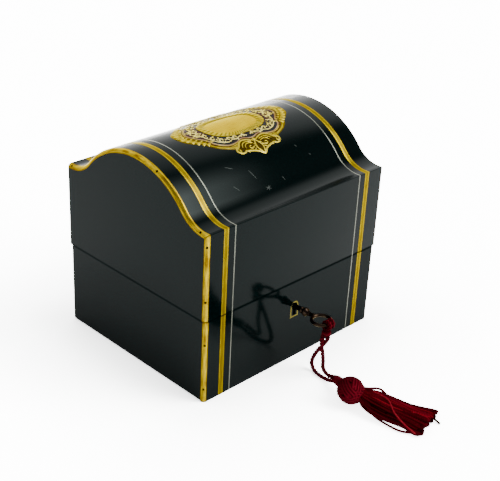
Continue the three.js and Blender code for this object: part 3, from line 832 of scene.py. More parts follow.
# %% Bands and lines
CROWN_SPOTS = (-1.0, -0.86, -0.72, -0.55, 0.0, 0.5, 0.68, 0.84, 1.0)
# Dark edges at the joints with the wood, and two painted highlights, the window's reflection, round a duller
# middle.
BAND_EDGES_AND_PAINTED_SHEEN = (0.0, 0.9, 1.0, 0.42, 0.36, 0.42, 1.0, 0.9, 0.0, 0.0, 0.0)
LINE_TONES = (0.3, 1.0, 1.0, 1.0, 1.0, 1.0, 1.0, 1.0, 0.3, 0.0, 0.0)
PROUD = 0.02
GROOVE_DEPTH = 0.8


def crowned(x, half, crown):
    """A let-in strip's section, very slightly crowned, with its lower corners in the groove."""
    top = [(x + half * u, -PROUD - crown * (1 - u * u)) for u in CROWN_SPOTS]
    return [*top, (x + half, GROOVE_DEPTH), (x - half, GROOVE_DEPTH)]


for end_name, sign in (("left", -1), ("right", 1)):
    for kind, x, half, crown, metal, tones in (
        ("brass_band", BAND_X, 1.75, 0.06, band_brass, BAND_EDGES_AND_PAINTED_SHEEN),
        ("white_line", LINE_X, 0.35, 0.02, white_metal, LINE_TONES),
    ):
        section = crowned(sign * x, half, crown)
        for owner, path, inward in (("base", base_path, base_inward), ("lid", lid_path, lid_inward)):
            laid(f"{owner}_{kind}_{end_name}", strip(path, inward, section, tones), metal, owner, 30)

# %% [markdown]
# ### Moulding
# The moulding is a quarter-round. On the lid it is mitred at the shoulder, so it is two strips that
# stop a twentieth of a millimetre short of the mitre, which shows as the fine line of the real joint.

# %% Moulding
# Dark edges at the joints with the wood, painted shade on the side of the round that faces the end, and a
# painted highlight on the side that faces the front and the top.
ROUND_EDGES_AND_PAINTED_LIGHT = (0.0, 0.3, 0.45, 0.5, 0.52, 0.55, 0.62, 0.8, 0.95, 1.0, 1.0, 0.95, 0.7, 0.1, 0.0)
MITRE_GAP = 0.05


def quarter_round(outer_x):
    """The moulding's section, from its outer end round to its seat in the wood."""
    centre = outer_x + MOULDING
    curve = [
        (centre - MOULDING * math.cos(a), MOULDING - MOULDING * math.sin(a))
        for a in np.linspace(0, math.pi / 2, 14)
    ]
    return [*curve, (centre, MOULDING)]


base_round, lid_round = quarter_round(-HALF_BASE), quarter_round(-HALF_LID)
shape = strip(base_path, base_inward, base_round, ROUND_EDGES_AND_PAINTED_LIGHT)
laid("base_corner_moulding", shape, moulding_brass, "base", 40)
shape = strip(lid_path, lid_inward, lid_round, ROUND_EDGES_AND_PAINTED_LIGHT, last=SHOULDER, end=MITRE_GAP)
laid("lid_corner_moulding", shape, moulding_brass, "lid", 40)
shape = strip(lid_path, lid_inward, lid_round, ROUND_EDGES_AND_PAINTED_LIGHT, first=SHOULDER, start=MITRE_GAP)
laid("lid_arch_moulding", shape, moulding_brass, "lid", 40)

# %% [markdown]
# ## The lid's wood
# The lid is a hollow box cut to the outline, with a step on the left where the moulding sits. Extruding the
# outline and cutting the hollow with Boolean would do it, but it leaves long thin triangles that
# shade badly on a mirror finish. So the outline is repeated as rings from end to end, the last
# ones a little smaller to ease the arrises, with a ring pair for the inside.

# %% Rings of the outline
ARRIS = 0.3
ARRIS_RINGS = 4
CLEAR = 0.03
END_STEP = 0.01


def lid_ring(x, inset, back_inset):
    """The outside at one place along the lid, set in from the outline."""
    ring = [(x, *(p + d * inset)) for p, d in zip(lid_path[:-1], lid_inward[:-1])]
    ring[0] = (x, FRONT_Y + inset, LID_BOTTOM + CLEAR)
    ring.append((x, BACK_Y - back_inset, SHOULDER_Z - inset))
    ring.append((x, BACK_Y - back_inset, LID_BOTTOM + CLEAR))
    return ring


def inner_ring(x):
    """The inside at one place along the lid."""
    closed_path = np.vstack([lid_path, [(BACK_Y, LID_BOTTOM)]])
    p, d = with_depth(closed_path)
    ring = [(x, *(a + b * (WALL - CLEAR))) for a, b in zip(p, d)]
    ring[0] = (x, ring[0][1], LID_BOTTOM + CLEAR)
    ring[-1] = (x, ring[-1][1], LID_BOTTOM + CLEAR)
    return ring


# %% [markdown]
# ### Walls, ends and rim
# The rings are joined to walls, closed at both ends, and the rim under the lid joins outside and inside.

# %% The lid's shell
def lid_wood():
    """The whole shell: outside, both ends, the hollow and the rim that joins them."""
    rings = [lid_ring(-HALF_LID, REBATE, ARRIS), lid_ring(-HALF_LID + END_STEP, REBATE, 0.0)]
    rings += [lid_ring(-HALF_LID + REBATE, REBATE, 0.0), lid_ring(-HALF_LID + REBATE, 0.0, 0.0)]
    for angle in np.linspace(0, math.pi / 2, ARRIS_RINGS):
        inset = ARRIS * (1 - math.cos(angle))
        rings.append(lid_ring(HALF_LID - ARRIS + ARRIS * math.sin(angle), inset, inset))
    count = len(rings[0])
    points = [p for ring in rings for p in ring]
    faces = [tuple(reversed(f)) for f in grid_faces(len(rings), count, False)]
    faces.append(list(range(count)))
    faces.append([(len(rings) - 1) * count + k for k in reversed(range(count))])
    low = len(points)
    inner = [inner_ring(-HALF_LID + WALL), inner_ring(HALF_LID - WALL)]
    inner_count = len(inner[0])
    points += [p for ring in inner for p in ring]
    faces += [tuple(low + k for k in f) for f in grid_faces(2, inner_count, False)]
    faces.append([low + k for k in reversed(range(inner_count))])
    faces.append([low + inner_count + k for k in range(inner_count)])
    front_out = [row * count for row in range(len(rings))]
    back_out = [row * count + count - 1 for row in range(len(rings))]
    inside = [low, low + inner_count, low + 2 * inner_count - 1, low + inner_count - 1]
    faces.append([*front_out, inside[1], inside[0]])
    faces.append([front_out[-1], back_out[-1], inside[2], inside[1]])
    faces.append([*reversed(back_out), inside[3], inside[2]])
    faces.append([back_out[0], front_out[0], inside[0], inside[3]])
    return points, faces


points, faces = lid_wood()
make("lid_shell", points, faces, lacquer, "lid", ("lid_shell",), None, 32)

# %% [markdown]
# ## Key
# The real key has a turned steel shank with a knop, a ring that lies level, and the bit inside the lock.
# Cylinders and a torus would give its rough shape. The shank is turned from its own outline instead,
# because the knop and its collars are what the eye sees from above. The lock is let 4.2 mm into the wall
# from the inside, and the key's tip goes 2.7 mm into the lock.

# %% The key
LOCK_DEPTH = 4.2
TIP_IN_LOCK = 2.7
TIP_Y = FRONT_Y + WALL - LOCK_DEPTH + TIP_IN_LOCK
BOW_Y = FRONT_Y - 20.8
BOW_RADIUS = 5.6
BOW_WIRE = 1.0
BIT_LENGTH = 5.4
BIT_WIDTH = 2.2
BIT_HALF = 0.8
KEY_PROFILE = (
    (0.05, 0), (1.3, 0), (1.5, 0.25), (1.5, 10.4), (1.75, 10.8), (2.0, 11.1), (2.0, 11.5), (1.7, 11.9),
    (1.6, 12.2), (1.9, 12.6), (2.35, 13.1), (2.6, 13.8), (2.5, 14.5), (2.1, 15.1), (1.5, 15.6),
    (1.3, 16), (1.5, 16.4), (1.55, 16.8), (1.3, 17.2), (1.2, 18), (1.25, 19), (1.6, 20), (1.6, 20.6),
    (0.05, 20.9),
)


def box_part(low, high):
    """A plain block between two corners."""
    corners = [(x, y, z) for x in (low[0], high[0]) for y in (low[1], high[1]) for z in (low[2], high[2])]
    faces = [(0, 1, 3, 2), (4, 6, 7, 5), (0, 4, 5, 1), (2, 3, 7, 6), (0, 2, 6, 4), (1, 5, 7, 3)]
    return np.array(corners, float), faces, np.zeros((8, 2))


circle = np.linspace(0, 2 * np.pi, 72, endpoint=False)
bow_path = np.stack([
    LOCK_X + BOW_RADIUS * np.cos(circle), BOW_Y + BOW_RADIUS * np.sin(circle), np.full(72, KEY_Z),
], 1)
points, faces, along = merged([
    lathe(KEY_PROFILE, 32, (LOCK_X, TIP_Y, KEY_Z), (0, -1, 0)),
    tube(bow_path, BOW_WIRE, 14, closed=True),
    box_part((LOCK_X, TIP_Y - BIT_WIDTH, KEY_Z - BIT_HALF), (LOCK_X + BIT_LENGTH, TIP_Y, KEY_Z + BIT_HALF)),
])
make("key", points, faces, dark_steel, "base", ("key",), along, 50)

# %% [markdown]
# ## Pins in the moulding
# Small steel pins hold the moulding, and their dark heads show along its ridge. A flat disc would do from
# far away. Here each is a short cylinder whose outer edge is bevelled into a low dome, as a filed
# pin has, and it is sunk into the brass.

# %% One pin
PIN_RADIUS = 0.72
PIN_TOP = 0.18
PIN_DEEP = 0.4
PIN_SEAT = 0.02
AT_TOP = 0.00001


def pin(name, centre, outward, body):
    """A pin's head: a short cylinder whose outer edge is bevelled into a low dome."""
    outward = Vector(outward).normalized()
    middle = (Vector(centre) + outward * (PIN_TOP - PIN_DEEP) / 2) * MM
    bpy.ops.object.select_all(action="DESELECT")
    bpy.ops.mesh.primitive_cylinder_add(
        vertices=20, radius=PIN_RADIUS * MM, depth=(PIN_TOP + PIN_DEEP) * MM,
        location=middle, rotation=outward.to_track_quat("Z", "Y").to_euler(),
    )
    piece = bpy.context.object
    piece.name = piece.data.name = name
    bpy.ops.object.transform_apply(location=True, rotation=True, scale=True)
    top = max(outward.dot(vertex.co) for vertex in piece.data.vertices)
    bpy.ops.object.mode_set(mode="EDIT")
    bpy.ops.mesh.select_mode(type="EDGE")
    bpy.ops.mesh.select_all(action="DESELECT")
    bpy.ops.object.mode_set(mode="OBJECT")
    for edge in piece.data.edges:
        edge.select = all(outward.dot(piece.data.vertices[k].co) > top - AT_TOP for k in edge.vertices)
    bpy.ops.object.mode_set(mode="EDIT")
    bpy.ops.mesh.bevel(offset=PIN_TOP * 0.9 * MM, segments=3, affect="EDGES")
    bpy.ops.object.mode_set(mode="OBJECT")
    bpy.ops.object.shade_smooth_by_angle(angle=math.radians(50))
    piece.data.materials.clear()
    piece.data.materials.append(pin_steel)
    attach(piece, body)
    print(name, len(piece.data.polygons), "faces")


# %% [markdown]
# ### Where the pins are
# Four sit on the corner, at heights read from the photograph, and three on the arch, where the nearest
# point of the outline and its step into the wood give each pin's place and direction.

# %% Seven pins
corner_x, corner_y = -HALF_LID + MOULDING, FRONT_Y + MOULDING
outward = np.array([-1, -1, 0]) / math.sqrt(2)
CORNER_PINS = (("lid", 96.7), ("lid", 64.0), ("base", 37.0), ("base", 8.5))
ARCH_PINS = (56.3, -18.9, -53.1)
for number, (body, height) in enumerate(CORNER_PINS):
    shift = HALF_LID - HALF_BASE if body == "base" else 0.0
    middle = np.array([corner_x + shift, corner_y, height]) + outward * (MOULDING - PIN_SEAT)
    pin(f"moulding_pin_{number + 1}", middle, outward, body)
for number, y in enumerate(ARCH_PINS):
    index = int(np.argmin(np.abs(lid_path[2:, 0] - y))) + 2
    into = lid_inward[index]
    normal = np.array([-1.0, *(-into)]) / math.sqrt(2)
    centre_yz = lid_path[index] + into * MOULDING
    middle = np.array([corner_x, *centre_yz]) + normal * (MOULDING - PIN_SEAT)
    pin(f"arch_pin_{number + 1}", middle, normal, "lid")

# %% [markdown]
# ## Tassel
# A tassel is a wooden ball wound with cord and covered with a woven knot, under a bound collar, with a skirt
# of loose threads tied under it. The collar is turned and wound with six rings of cord, each a
# little tilted, as a binding lies.

# %% The collar
collar_start = np.array([-2.1, -97.2, 5.3])
head_centre = np.array([-7.2, -112.0, 8.2])
HEAD_RADIUS = 8.2
KNOT_CORD = 0.85
head_axis = head_centre - collar_start
head_reach = float(np.linalg.norm(head_axis))
head_axis /= head_reach
COLLAR_CORE = ((2.0, 0.1), (2.2, 0.6), (2.1, 8.5))
COLLAR_TURNS = 6
COLLAR_CORD = 0.52


def turned_frame(axis):
    """Two directions square to an axis and to each other, the first one level."""
    side = np.cross(axis, [0, 0, 1.0])
    side /= np.linalg.norm(side)
    return side, np.cross(axis, side)


def collar_parts():
    """The collar's core and the turns of cord on it, the middle ones a little wider."""
    side, other = turned_frame(head_axis)
    parts = [lathe(COLLAR_CORE, 20, collar_start, head_axis)]
    for k in range(COLLAR_TURNS):
        angles = np.linspace(0, 2 * np.pi, 28, endpoint=False)
        radius = 2.15 + (0.25 if k in (1, 2, 3) else 0.0)
        centre = collar_start + head_axis * (0.55 + 0.92 * k)
        loop = centre + radius * (np.cos(angles)[:, None] * side + np.sin(angles)[:, None] * other)
        loop += head_axis * 0.25 * np.sin(angles + k)[:, None]
        parts.append(tube(loop, COLLAR_CORD, 8, closed=True))
    return parts


# %% [markdown]
# ### The woven knot
# The knot over the ball is a band of four cords that runs three times round and makes five loops at each
# end, over and under itself. Tying it by hand would take an hour. As a path it is short: the band
# goes round while its height swings, and it lifts and dips at the crossings.

# %% The knot
KNOT_STEPS = 560
KNOT_HEIGHT = math.radians(66)
KNOT_LIFT = 0.35


def knot_parts(leads=3, bights=5, cords=4):
    """A woven band of parallel cords that goes over and under itself round the ball, and its painted shades.
    """
    side, other = turned_frame(head_axis)
    t = np.linspace(0, 2 * np.pi, KNOT_STEPS, endpoint=False)
    around = leads * t
    high = KNOT_HEIGHT * np.cos(bights * t)
    lift = KNOT_LIFT * np.cos(bights * (leads - 1) * t + 0.6)
    spine = np.stack([np.cos(high) * np.cos(around), np.cos(high) * np.sin(around), np.sin(high)], 1)
    ahead = np.roll(spine, -1, 0) - np.roll(spine, 1, 0)
    ahead /= np.linalg.norm(ahead, axis=1)[:, None]
    across = np.cross(spine, ahead)
    basis = np.stack([side, other, head_axis])
    distance = HEAD_RADIUS - KNOT_CORD - 0.15 + lift
    parts, shades = [], []
    for k in range(cords):
        angle = (k - (cords - 1) / 2) * KNOT_CORD * 1.92 / HEAD_RADIUS
        radial = spine * math.cos(angle) + across * math.sin(angle)
        path = head_centre + (radial * distance[:, None]) @ basis
        shape = tube(path, KNOT_CORD, 10, closed=True)
        outwards = np.linalg.norm(shape[0] - head_centre, axis=1) - np.repeat(distance, 10)
        parts.append(shape)
        # Painted shade: a cord is lighter on its outer ridge and where it lifts over a crossing, darker where
        # it dips under one.
        ridge = 0.82 * np.clip(outwards / KNOT_CORD, 0, 1) ** 2
        shades.append(ridge + np.repeat(lift, 10) * 0.35 - 0.1)
    return parts, shades


# %% [markdown]
# ### The ball
# The ball shows between the knot's cords, so it is ribbed as if wound with cord, and its hollows get painted
# shade.
# Collar, ball and knot become one piece, because nothing moves them apart.

# %% The ball, and the head as one piece
BALL_RADIUS = 6.85
BALL_RIBS = 0.6


def ball_part():
    """The ball under the knot, wound with cord."""
    angles = np.linspace(-math.pi / 2 + 0.02, math.pi / 2 - 0.02, 120)
    sizes = BALL_RADIUS + BALL_RIBS * np.abs(np.sin(angles * 7.5))
    profile = [(r * math.cos(a), head_reach + r * math.sin(a)) for r, a in zip(sizes, angles)]
    return lathe(profile, 40, collar_start, head_axis)


def head_shades(collar, ball):
    """The collar's and the ball's painted shades, dark in their grooves and light on their outside."""
    collar_points = np.vstack([part[0] for part in collar]) - head_centre
    from_axis = collar_points - (collar_points @ head_axis)[:, None] * head_axis
    shades = [0.8 * np.clip((np.linalg.norm(from_axis, axis=1) - 2.2) / 0.4, 0, 1) - 0.15]
    shades.append(1.1 * np.clip(np.linalg.norm(ball[0] - head_centre, axis=1) - BALL_RADIUS, 0, 1))
    return shades


collar, ball = collar_parts(), ball_part()
knot, knot_shades = knot_parts()
points, faces, along = merged([*collar, ball, *knot])
points[:, 2] = np.maximum(points[:, 2], FLOOR_CLEARANCE)
shades = np.concatenate([*head_shades(collar, ball), *knot_shades])
tassel_head = make(
    "tassel_head", points, faces, crimson_cord, "base", ("tassel_head",), along, ALL_SMOOTH, shades,
)

# %% [markdown]
# ### The skirt
# The skirt is several hundred silk threads that hang in locks and lie spread on the floor. Blender's hair
# could grow them, but an export needs real meshes. So each thread is a thin tube that follows the
# skirt's middle line. Each row of SKIRT is a place on the way: x, y, how high it lies, and the skirt's
# half width and height there.

# %% The skirt's shape
SKIRT = np.array([
    (-4.4, -117.8, 4.0, 4.6, 7.0), (-4.2, -120.2, 2.2, 6.4, 8.0), (-2.0, -125.5, 0.6, 9.2, 9.0),
    (0.3, -134.0, 0.1, 9.8, 8.2), (3.4, -144.0, 0.1, 10.0, 6.6), (7.6, -153.4, 0.1, 12.6, 4.8),
    (9.2, -157.4, 0.1, 13.2, 4.4),
])


def skirt_at(share):
    """Middle, lift, half width and height at a share of the length, and the way sideways."""
    row = share * (len(SKIRT) - 1)
    i = min(int(row), len(SKIRT) - 2)
    here = SKIRT[i] + (SKIRT[i + 1] - SKIRT[i]) * (row - i)
    low, high = SKIRT[max(i - 1, 0)], SKIRT[min(i + 2, len(SKIRT) - 1)]
    ahead = high[:2] - low[:2]
    ahead = ahead / np.linalg.norm(ahead)
    return here, np.array([-ahead[1], ahead[0]])


# %% [markdown]
# ### One thread
# A thread keeps its place in the bundle, but it drifts and waves a little. A few stray ones leave the
# bundle altogether, so their paths are given point by point, each with its radius and its shade.

# %% A thread and the strays
THREAD_POINTS = 15
THREAD_LOW = 0.4


def thread(angle, reach, end, wander):
    """One hanging thread: its place in the bundle, how far down it ends, and how it strays."""
    rows = []
    for share in np.linspace(0, end, THREAD_POINTS):
        here, sideways = skirt_at(min(share, 1.0))
        turn_by = angle + wander[0] * share + wander[1] * math.sin(5 * share + wander[2])
        size = reach * (1 + 0.07 * math.sin(6 * share + wander[2]))
        out = here[3] * size * math.cos(turn_by)
        z = here[2] + here[4] / 2 * (1 + size * math.sin(turn_by))
        rows.append((here[0] + sideways[0] * out, here[1] + sideways[1] * out, max(z, THREAD_LOW)))
    return np.array(rows)


STRAYS = (
    ([(-7, -113.9, 11), (-2.1, -119.7, 11.3), (3.4, -123.9, 10.5), (3.4, -129.8, 9),
      (5.1, -137.1, 7.5)], 0.7, 0.45),
    ([(-0.4, -121.4, 9.6), (0.6, -132.1, 8.9), (-4.1, -140.2, 7.6), (-6.4, -149.1, 5.8),
      (-6.4, -157, 4)], 0.42, 0.85),
    ([(-5.8, -121.4, 3), (-8.8, -130.8, 2), (-8.6, -139.1, 1.2), (-7.4, -147.9, 1),
      (-3.9, -153.3, 1)], 0.7, 0.45),
    ([(13.1, -148, 3.6), (14.6, -153.3, 1.8), (14.6, -158, 0.6)], 0.7, -0.2),
    ([(-4.3, -148.1, 1.5), (-3.5, -155.7, 0.8), (0.3, -157.5, 0.6)], 0.6, 0.5),
    ([(-7.2, -118, 9.6), (-4.5, -124.9, 9.4), (-2.6, -133.3, 8.4), (0.5, -140.7, 7),
      (7.7, -149.1, 5.5)], 0.42, 0.8),
)


# %% [markdown]
# ### All the threads
# The threads gather in locks that lie apart, and every lock and thread has a shade of its own, or the
# skirt would look combed. Every fourth thread lies inside the bundle and gets painted shade.

# %% The skirt's threads
THREADS = 460
THREAD_RADIUS = 0.37
LOCKS = 17


def skirt_parts():
    """Threads in locks that lie apart, each lock and each thread of its own shade, and a few strays."""
    parts, shades = [], []
    lock_turn = (np.arange(LOCKS) + random.uniform(-0.25, 0.25, LOCKS)) * 2 * np.pi / LOCKS
    lock_reach = random.uniform(0.84, 1.0, LOCKS)
    lock_drift = random.normal(0, 0.3, LOCKS)
    lock_shade = random.uniform(0.1, 0.62, LOCKS)
    for number in range(THREADS):
        lock = number % LOCKS
        inner = number % 4 == 3
        angle = lock_turn[lock] + random.normal(0, 0.13)
        reach = random.uniform(0.3, 0.85) if inner else lock_reach[lock] - abs(random.normal(0, 0.06))
        wander = lock_drift[lock] + random.normal(0, 0.09), random.normal(0, 0.06), random.uniform(0, 6)
        end = random.uniform(0.9, 1.0) - 0.07 * (1 - math.cos(angle + wander[0]))
        path = spline(thread(angle, reach, end, wander), 24)
        shape = tube(path, THREAD_RADIUS, 6)
        parts.append(shape)
        # Painted shade on the threads inside the bundle.
        depth = -0.35 if inner else 0.0
        shades.append(np.full(len(shape[0]), lock_shade[lock] + depth + random.uniform(-0.25, 0.28)))
    for path, radius, shade in STRAYS:
        shape = tube(spline(path, 30), radius, 6)
        parts.append(shape)
        shades.append(np.full(len(shape[0]), shade))
    return parts, np.concatenate(shades)


parts, shades = skirt_parts()
points, faces, along = merged(parts)
points[:, 2] = np.maximum(points[:, 2], FLOOR_CLEARANCE)
make("tassel_skirt", points, faces, crimson_thread, "base", ("tassel_skirt",), along, ALL_SMOOTH, shades)

# %% [markdown]
# ## Hitch
# The cord is tied to the key's ring with a hitch: four turns over the ring's front, four strands that come
# together under it, and a binding of three turns round them. Each is a twisted cord of its own, laid
# next to the others. Every second one gets painted shade and the others painted light, so that they can be
# told apart.

# %% The hitch
HITCH_CORD = 0.8
HITCH_STRAND = 0.85
HITCH_BINDING = 0.5
HITCH_PITCH = 3.4
HITCH_FEET = ((0.5, -86.5, 27.4), (-1.9, -84.0, 27.4), (-1.0, -86.6, 28.2), (-0.2, -83.9, 28.4))


def hitch_parts():
    """Turns over the ring, strands under it and their binding, each with its shades."""
    front_y = BOW_Y - BOW_RADIUS
    parts, shades = [], []

    def add(path, shape, radius):
        """Adds a cord and its painted shades, every second one darker."""
        parts.append(shape)
        # Painted shade on every second cord, painted light on the others.
        tone = -0.3 if len(parts) % 2 else 0.12
        shades.append(tone + ply_shades(path, shape[0], radius))

    for k in range(4):
        x = LOCK_X + (k - 1.5) * 1.35
        angles = np.linspace(0, 2 * np.pi, 26, endpoint=False)
        lean = 0.25 * math.sin(2.1 * k + 1)
        y = front_y + 0.45 * (x - LOCK_X) ** 2 / 7 + 2.3 * np.cos(angles)
        z = KEY_Z - 0.2 + 2.35 * np.sin(angles)
        loop = np.stack([x + lean * np.sin(angles), y, z], 1)
        add(loop, tube(loop, HITCH_CORD, 16, plies=2, pitch=HITCH_PITCH, closed=True), HITCH_CORD)
    top = np.array([LOCK_X - 0.2, front_y + 0.3, KEY_Z - 1.6])
    for k, foot in enumerate(HITCH_FEET):
        aside = np.array([1.1 * math.cos(1.7 * k), 1.1 * math.sin(1.7 * k), 0])
        middle = (top + np.array(foot)) / 2 + aside
        path = spline([top, middle, foot], 18)
        add(path, tube(path, HITCH_STRAND, 16, plies=2, pitch=HITCH_PITCH), HITCH_STRAND)
    for k in range(3):
        angles = np.linspace(0, 2 * np.pi, 24, endpoint=False)
        centre = np.array([LOCK_X - 1.0, front_y + 0.15, 30.9 - 0.8 * k])
        loop = np.stack([2.05 * np.cos(angles), 1.95 * np.sin(angles), 0.25 * np.sin(angles + k)], 1)
        add(centre + loop, tube(centre + loop, HITCH_BINDING, 8, closed=True), HITCH_BINDING)
    return parts, np.concatenate(shades)


parts, shades = hitch_parts()
points, faces, along = merged(parts)
cord_hitch = make(
    "cord_hitch", points, faces, crimson_cord, "base", ("cord_hitch",), along, ALL_SMOOTH, shades,
)

# %% [markdown]
# ### What the cords are
# Each strand's path and length are kept as it is made, and its thickness is STRAND_RADIUS.

# %% [markdown]
# ## Cartouche
# The ornament in the dome is sawn from sheet brass, engraved and let into a ground of shell. It could be
# modelled flat and bent with a modifier. Here it is drawn flat in numbers, as x and the distance s over
# the dome, and each point is then put on the dome, so that it touches the wood all over.
# One quarter of each outline is drawn, to the right and the front, and mirrored to the other three.

# %% Outlines
OUTLINE_POINTS = 900
OVERLAP = 4


def inlay_at(x, s, rise):
    """Points of the cartouche on the dome."""
    return on_dome(CARTOUCHE_X + np.asarray(x), s, rise)


def closed_spline(points, count):
    """A smooth closed path: the spline runs past its start on both sides, and one round is kept."""
    p = [tuple(point) for point in points]
    wrapped = spline([*p[-3:], *p, *p[:3]], count * 3)
    start = int(np.argmin(np.linalg.norm(wrapped - p[0], axis=1)))
    rest = wrapped[start + OVERLAP :]
    end = start + OVERLAP + int(np.argmin(np.linalg.norm(rest - p[0], axis=1)))
    return wrapped[start:end]


def fourfold(quarter, length, across):
    """A closed outline from one quarter, given in shares of half the length and half the width."""
    corner = [(u * length / 2, w * across / 2) for u, w in quarter]
    half = [*corner, *[(-x, y) for x, y in reversed(corner)]]
    return closed_spline([*half, *[(x, -y) for x, y in reversed(half)]], OUTLINE_POINTS)


# %% [markdown]
# ### Ovals and rays
# The rim and the plate are ovals with full corners. Between two outlines the space is filled along rays
# from the middle, so each outline is also needed as its distance from the middle in every direction.

# %% Ovals and rays
OVAL_POINTS = 720
OVAL_POWER = 2 / 2.6


def squared_oval(length, across):
    """An oval with fuller corners than an ellipse."""
    angles = np.linspace(0, 2 * np.pi, OVAL_POINTS, endpoint=False)
    c, s = np.cos(angles), np.sin(angles)
    x = length / 2 * np.sign(c) * np.abs(c) ** OVAL_POWER
    y = across / 2 * np.sign(s) * np.abs(s) ** OVAL_POWER
    return np.stack([x, y], 1)


def reach_at(outline, angles):
    """The outline's distance from the middle in each direction, the farthest where it doubles back."""
    direction = np.arctan2(outline[:, 1], outline[:, 0])
    distance = np.linalg.norm(outline, axis=1)
    result = np.zeros(len(angles))
    following = np.roll(np.arange(len(outline)), -1)
    for i, j in enumerate(following):
        low, high = direction[i], direction[j]
        swing = (high - low + np.pi) % (2 * np.pi) - np.pi
        offset = (angles - low + np.pi) % (2 * np.pi) - np.pi
        share = offset / swing if swing else offset * 0
        hit = (share >= 0) & (share <= 1) if swing else np.zeros(len(angles), bool)
        value = distance[i] + (distance[j] - distance[i]) * share
        result = np.where(hit, np.maximum(result, value), result)
    return result


# %% [markdown]
# ### The cartouche's outlines
# From the outside in: the border with its crests to the front and the back, the shell ground, the rim round
# the plate, and the plate. Each is kept as its distance from the middle along 540 rays, so that the
# space between any two of them is easy to fill.

# %% Four outlines along rays
RAYS = np.linspace(0, 2 * np.pi, 540, endpoint=False)
CREST = 17 / 46
CREST_HALF = 15.2
CREST_GROUND = 0.86
border_out = reach_at(fourfold([
    (1, 0.08), (0.97, 0.26), (0.88, 0.42), (0.78, 0.52), (0.72, 0.68), (0.62, 0.82), (0.46, 0.95),
    (0.38, 1.02), (0.36, 1 + 0.35 * CREST), (0.24, 1 + 0.5 * CREST), (0.14, 1 + 0.66 * CREST),
    (0.05, 1 + CREST),
], 82, 46), RAYS)
field = reach_at(fourfold([
    (1, 0.06), (0.92, 0.32), (0.82, 0.52), (0.75, 0.78), (0.55, 1), (0.36, 0.99), (0.2, 0.9), (0.05, 0.98),
], 67, 37), RAYS)
rim_out = reach_at(squared_oval(44, 26), RAYS)
rim_in = reach_at(squared_oval(35, 19), RAYS)
on_crest = np.abs(border_out * np.cos(RAYS)) < CREST_HALF
border_ground = np.where(on_crest, field + (border_out - field) * CREST_GROUND, border_out)
crest_reach = border_out[len(RAYS) // 4]
print("cartouche", round(2 * border_out[0]), "mm long and", round(2 * crest_reach), "mm over its crests")

# %% [markdown]
# ### Sheets between outlines
# A let-in piece is a ring or a disc whose top follows the dome and whose edges go into the wood. Filling
# between two curves by hand gives faces of all sizes. The rays give an even grid, and on it the top
# can rise and the metal darken by a rule.

# %% Rings between outlines
EDGE_DEEP = -0.6
MEAN_REACH = 25


def slab(outer, inner, rows, rise, shade):
    """A let-in piece between two outlines, its top following rise(share, ray), its edges in the wood.

    shade(share, ray) says how bright the metal is there, from 0 in an engraved gap to 1."""
    count = len(RAYS)
    rays = np.arange(count)
    shares = np.concatenate([[0.0], np.linspace(0, 1, rows), [1.0]])
    sunk = np.full(count, EDGE_DEEP)
    heights = [sunk, *[rise(share, rays) for share in np.linspace(0, 1, rows)], sunk]
    points, along = [], []
    for share, height in zip(shares, heights):
        reach = inner + (outer - inner) * share
        points.append(inlay_at(reach * np.cos(RAYS), reach * np.sin(RAYS), height))
        along.append(np.stack([RAYS * MEAN_REACH, reach], 1))
    faces = grid_faces(len(shares), count, True)
    low = (len(shares) - 1) * count
    for k in range(count):
        following = (k + 1) % count
        faces.append((low + k, low + following, following, k))
    shades = [shade(share, rays) for share in shares]
    return np.vstack(points), faces, np.vstack(along), np.concatenate(shades)


# %% [markdown]
# ### Plates
# A plate is filled from its middle outwards along the same rays. Two more helpers join parts with their
# shades and turn a shape into a piece that rides on the lid.

# %% Discs and pieces on the lid
def disc(outer, rows, rise):
    """A let-in plate inside an outline, its top following rise(share)."""
    shares = np.linspace(0, 1, rows)
    points = [inlay_at([0.0], [0.0], rise(0.0))]
    along = [np.zeros((1, 2))]
    for share in shares[1:]:
        x, s = outer * share * np.cos(RAYS), outer * share * np.sin(RAYS)
        points.append(inlay_at(x, s, rise(share)))
        along.append(np.stack([x, s], 1))
    points.append(inlay_at(x, s, EDGE_DEEP))
    along.append(along[-1])
    count = len(RAYS)
    faces = [(0, 1 + k, 1 + (k + 1) % count) for k in range(count)]
    faces += [tuple(k + 1 for k in face) for face in grid_faces(rows, count, True)]
    faces.append([1 + (rows - 1) * count + k for k in reversed(range(count))])
    return np.vstack(points), faces, np.vstack(along)


def shaded(parts):
    """Several parts as one, with their shades."""
    return *merged(parts), np.concatenate([part[3] for part in parts])


def inlaid(name, shape, material, replaces=()):
    """A piece of the cartouche. It rides on the lid."""
    points, faces, along, *shades = shape
    make(name, points, faces, material, "lid", replaces, along, 40, *shades)


# %% [markdown]
# ### Engraved strokes
# Leaves, scrolls and lobes are raised strokes of metal. They could be curves with a bevel and a taper. Here a
# stroke is a rounded ribbon that swells and tapers, and a bead is a small oval dome. Both are dark
# at their foot, where the graver cut.

# %% Strokes
STROKE_LIFT = 0.03
STROKE_FOOT = -0.3


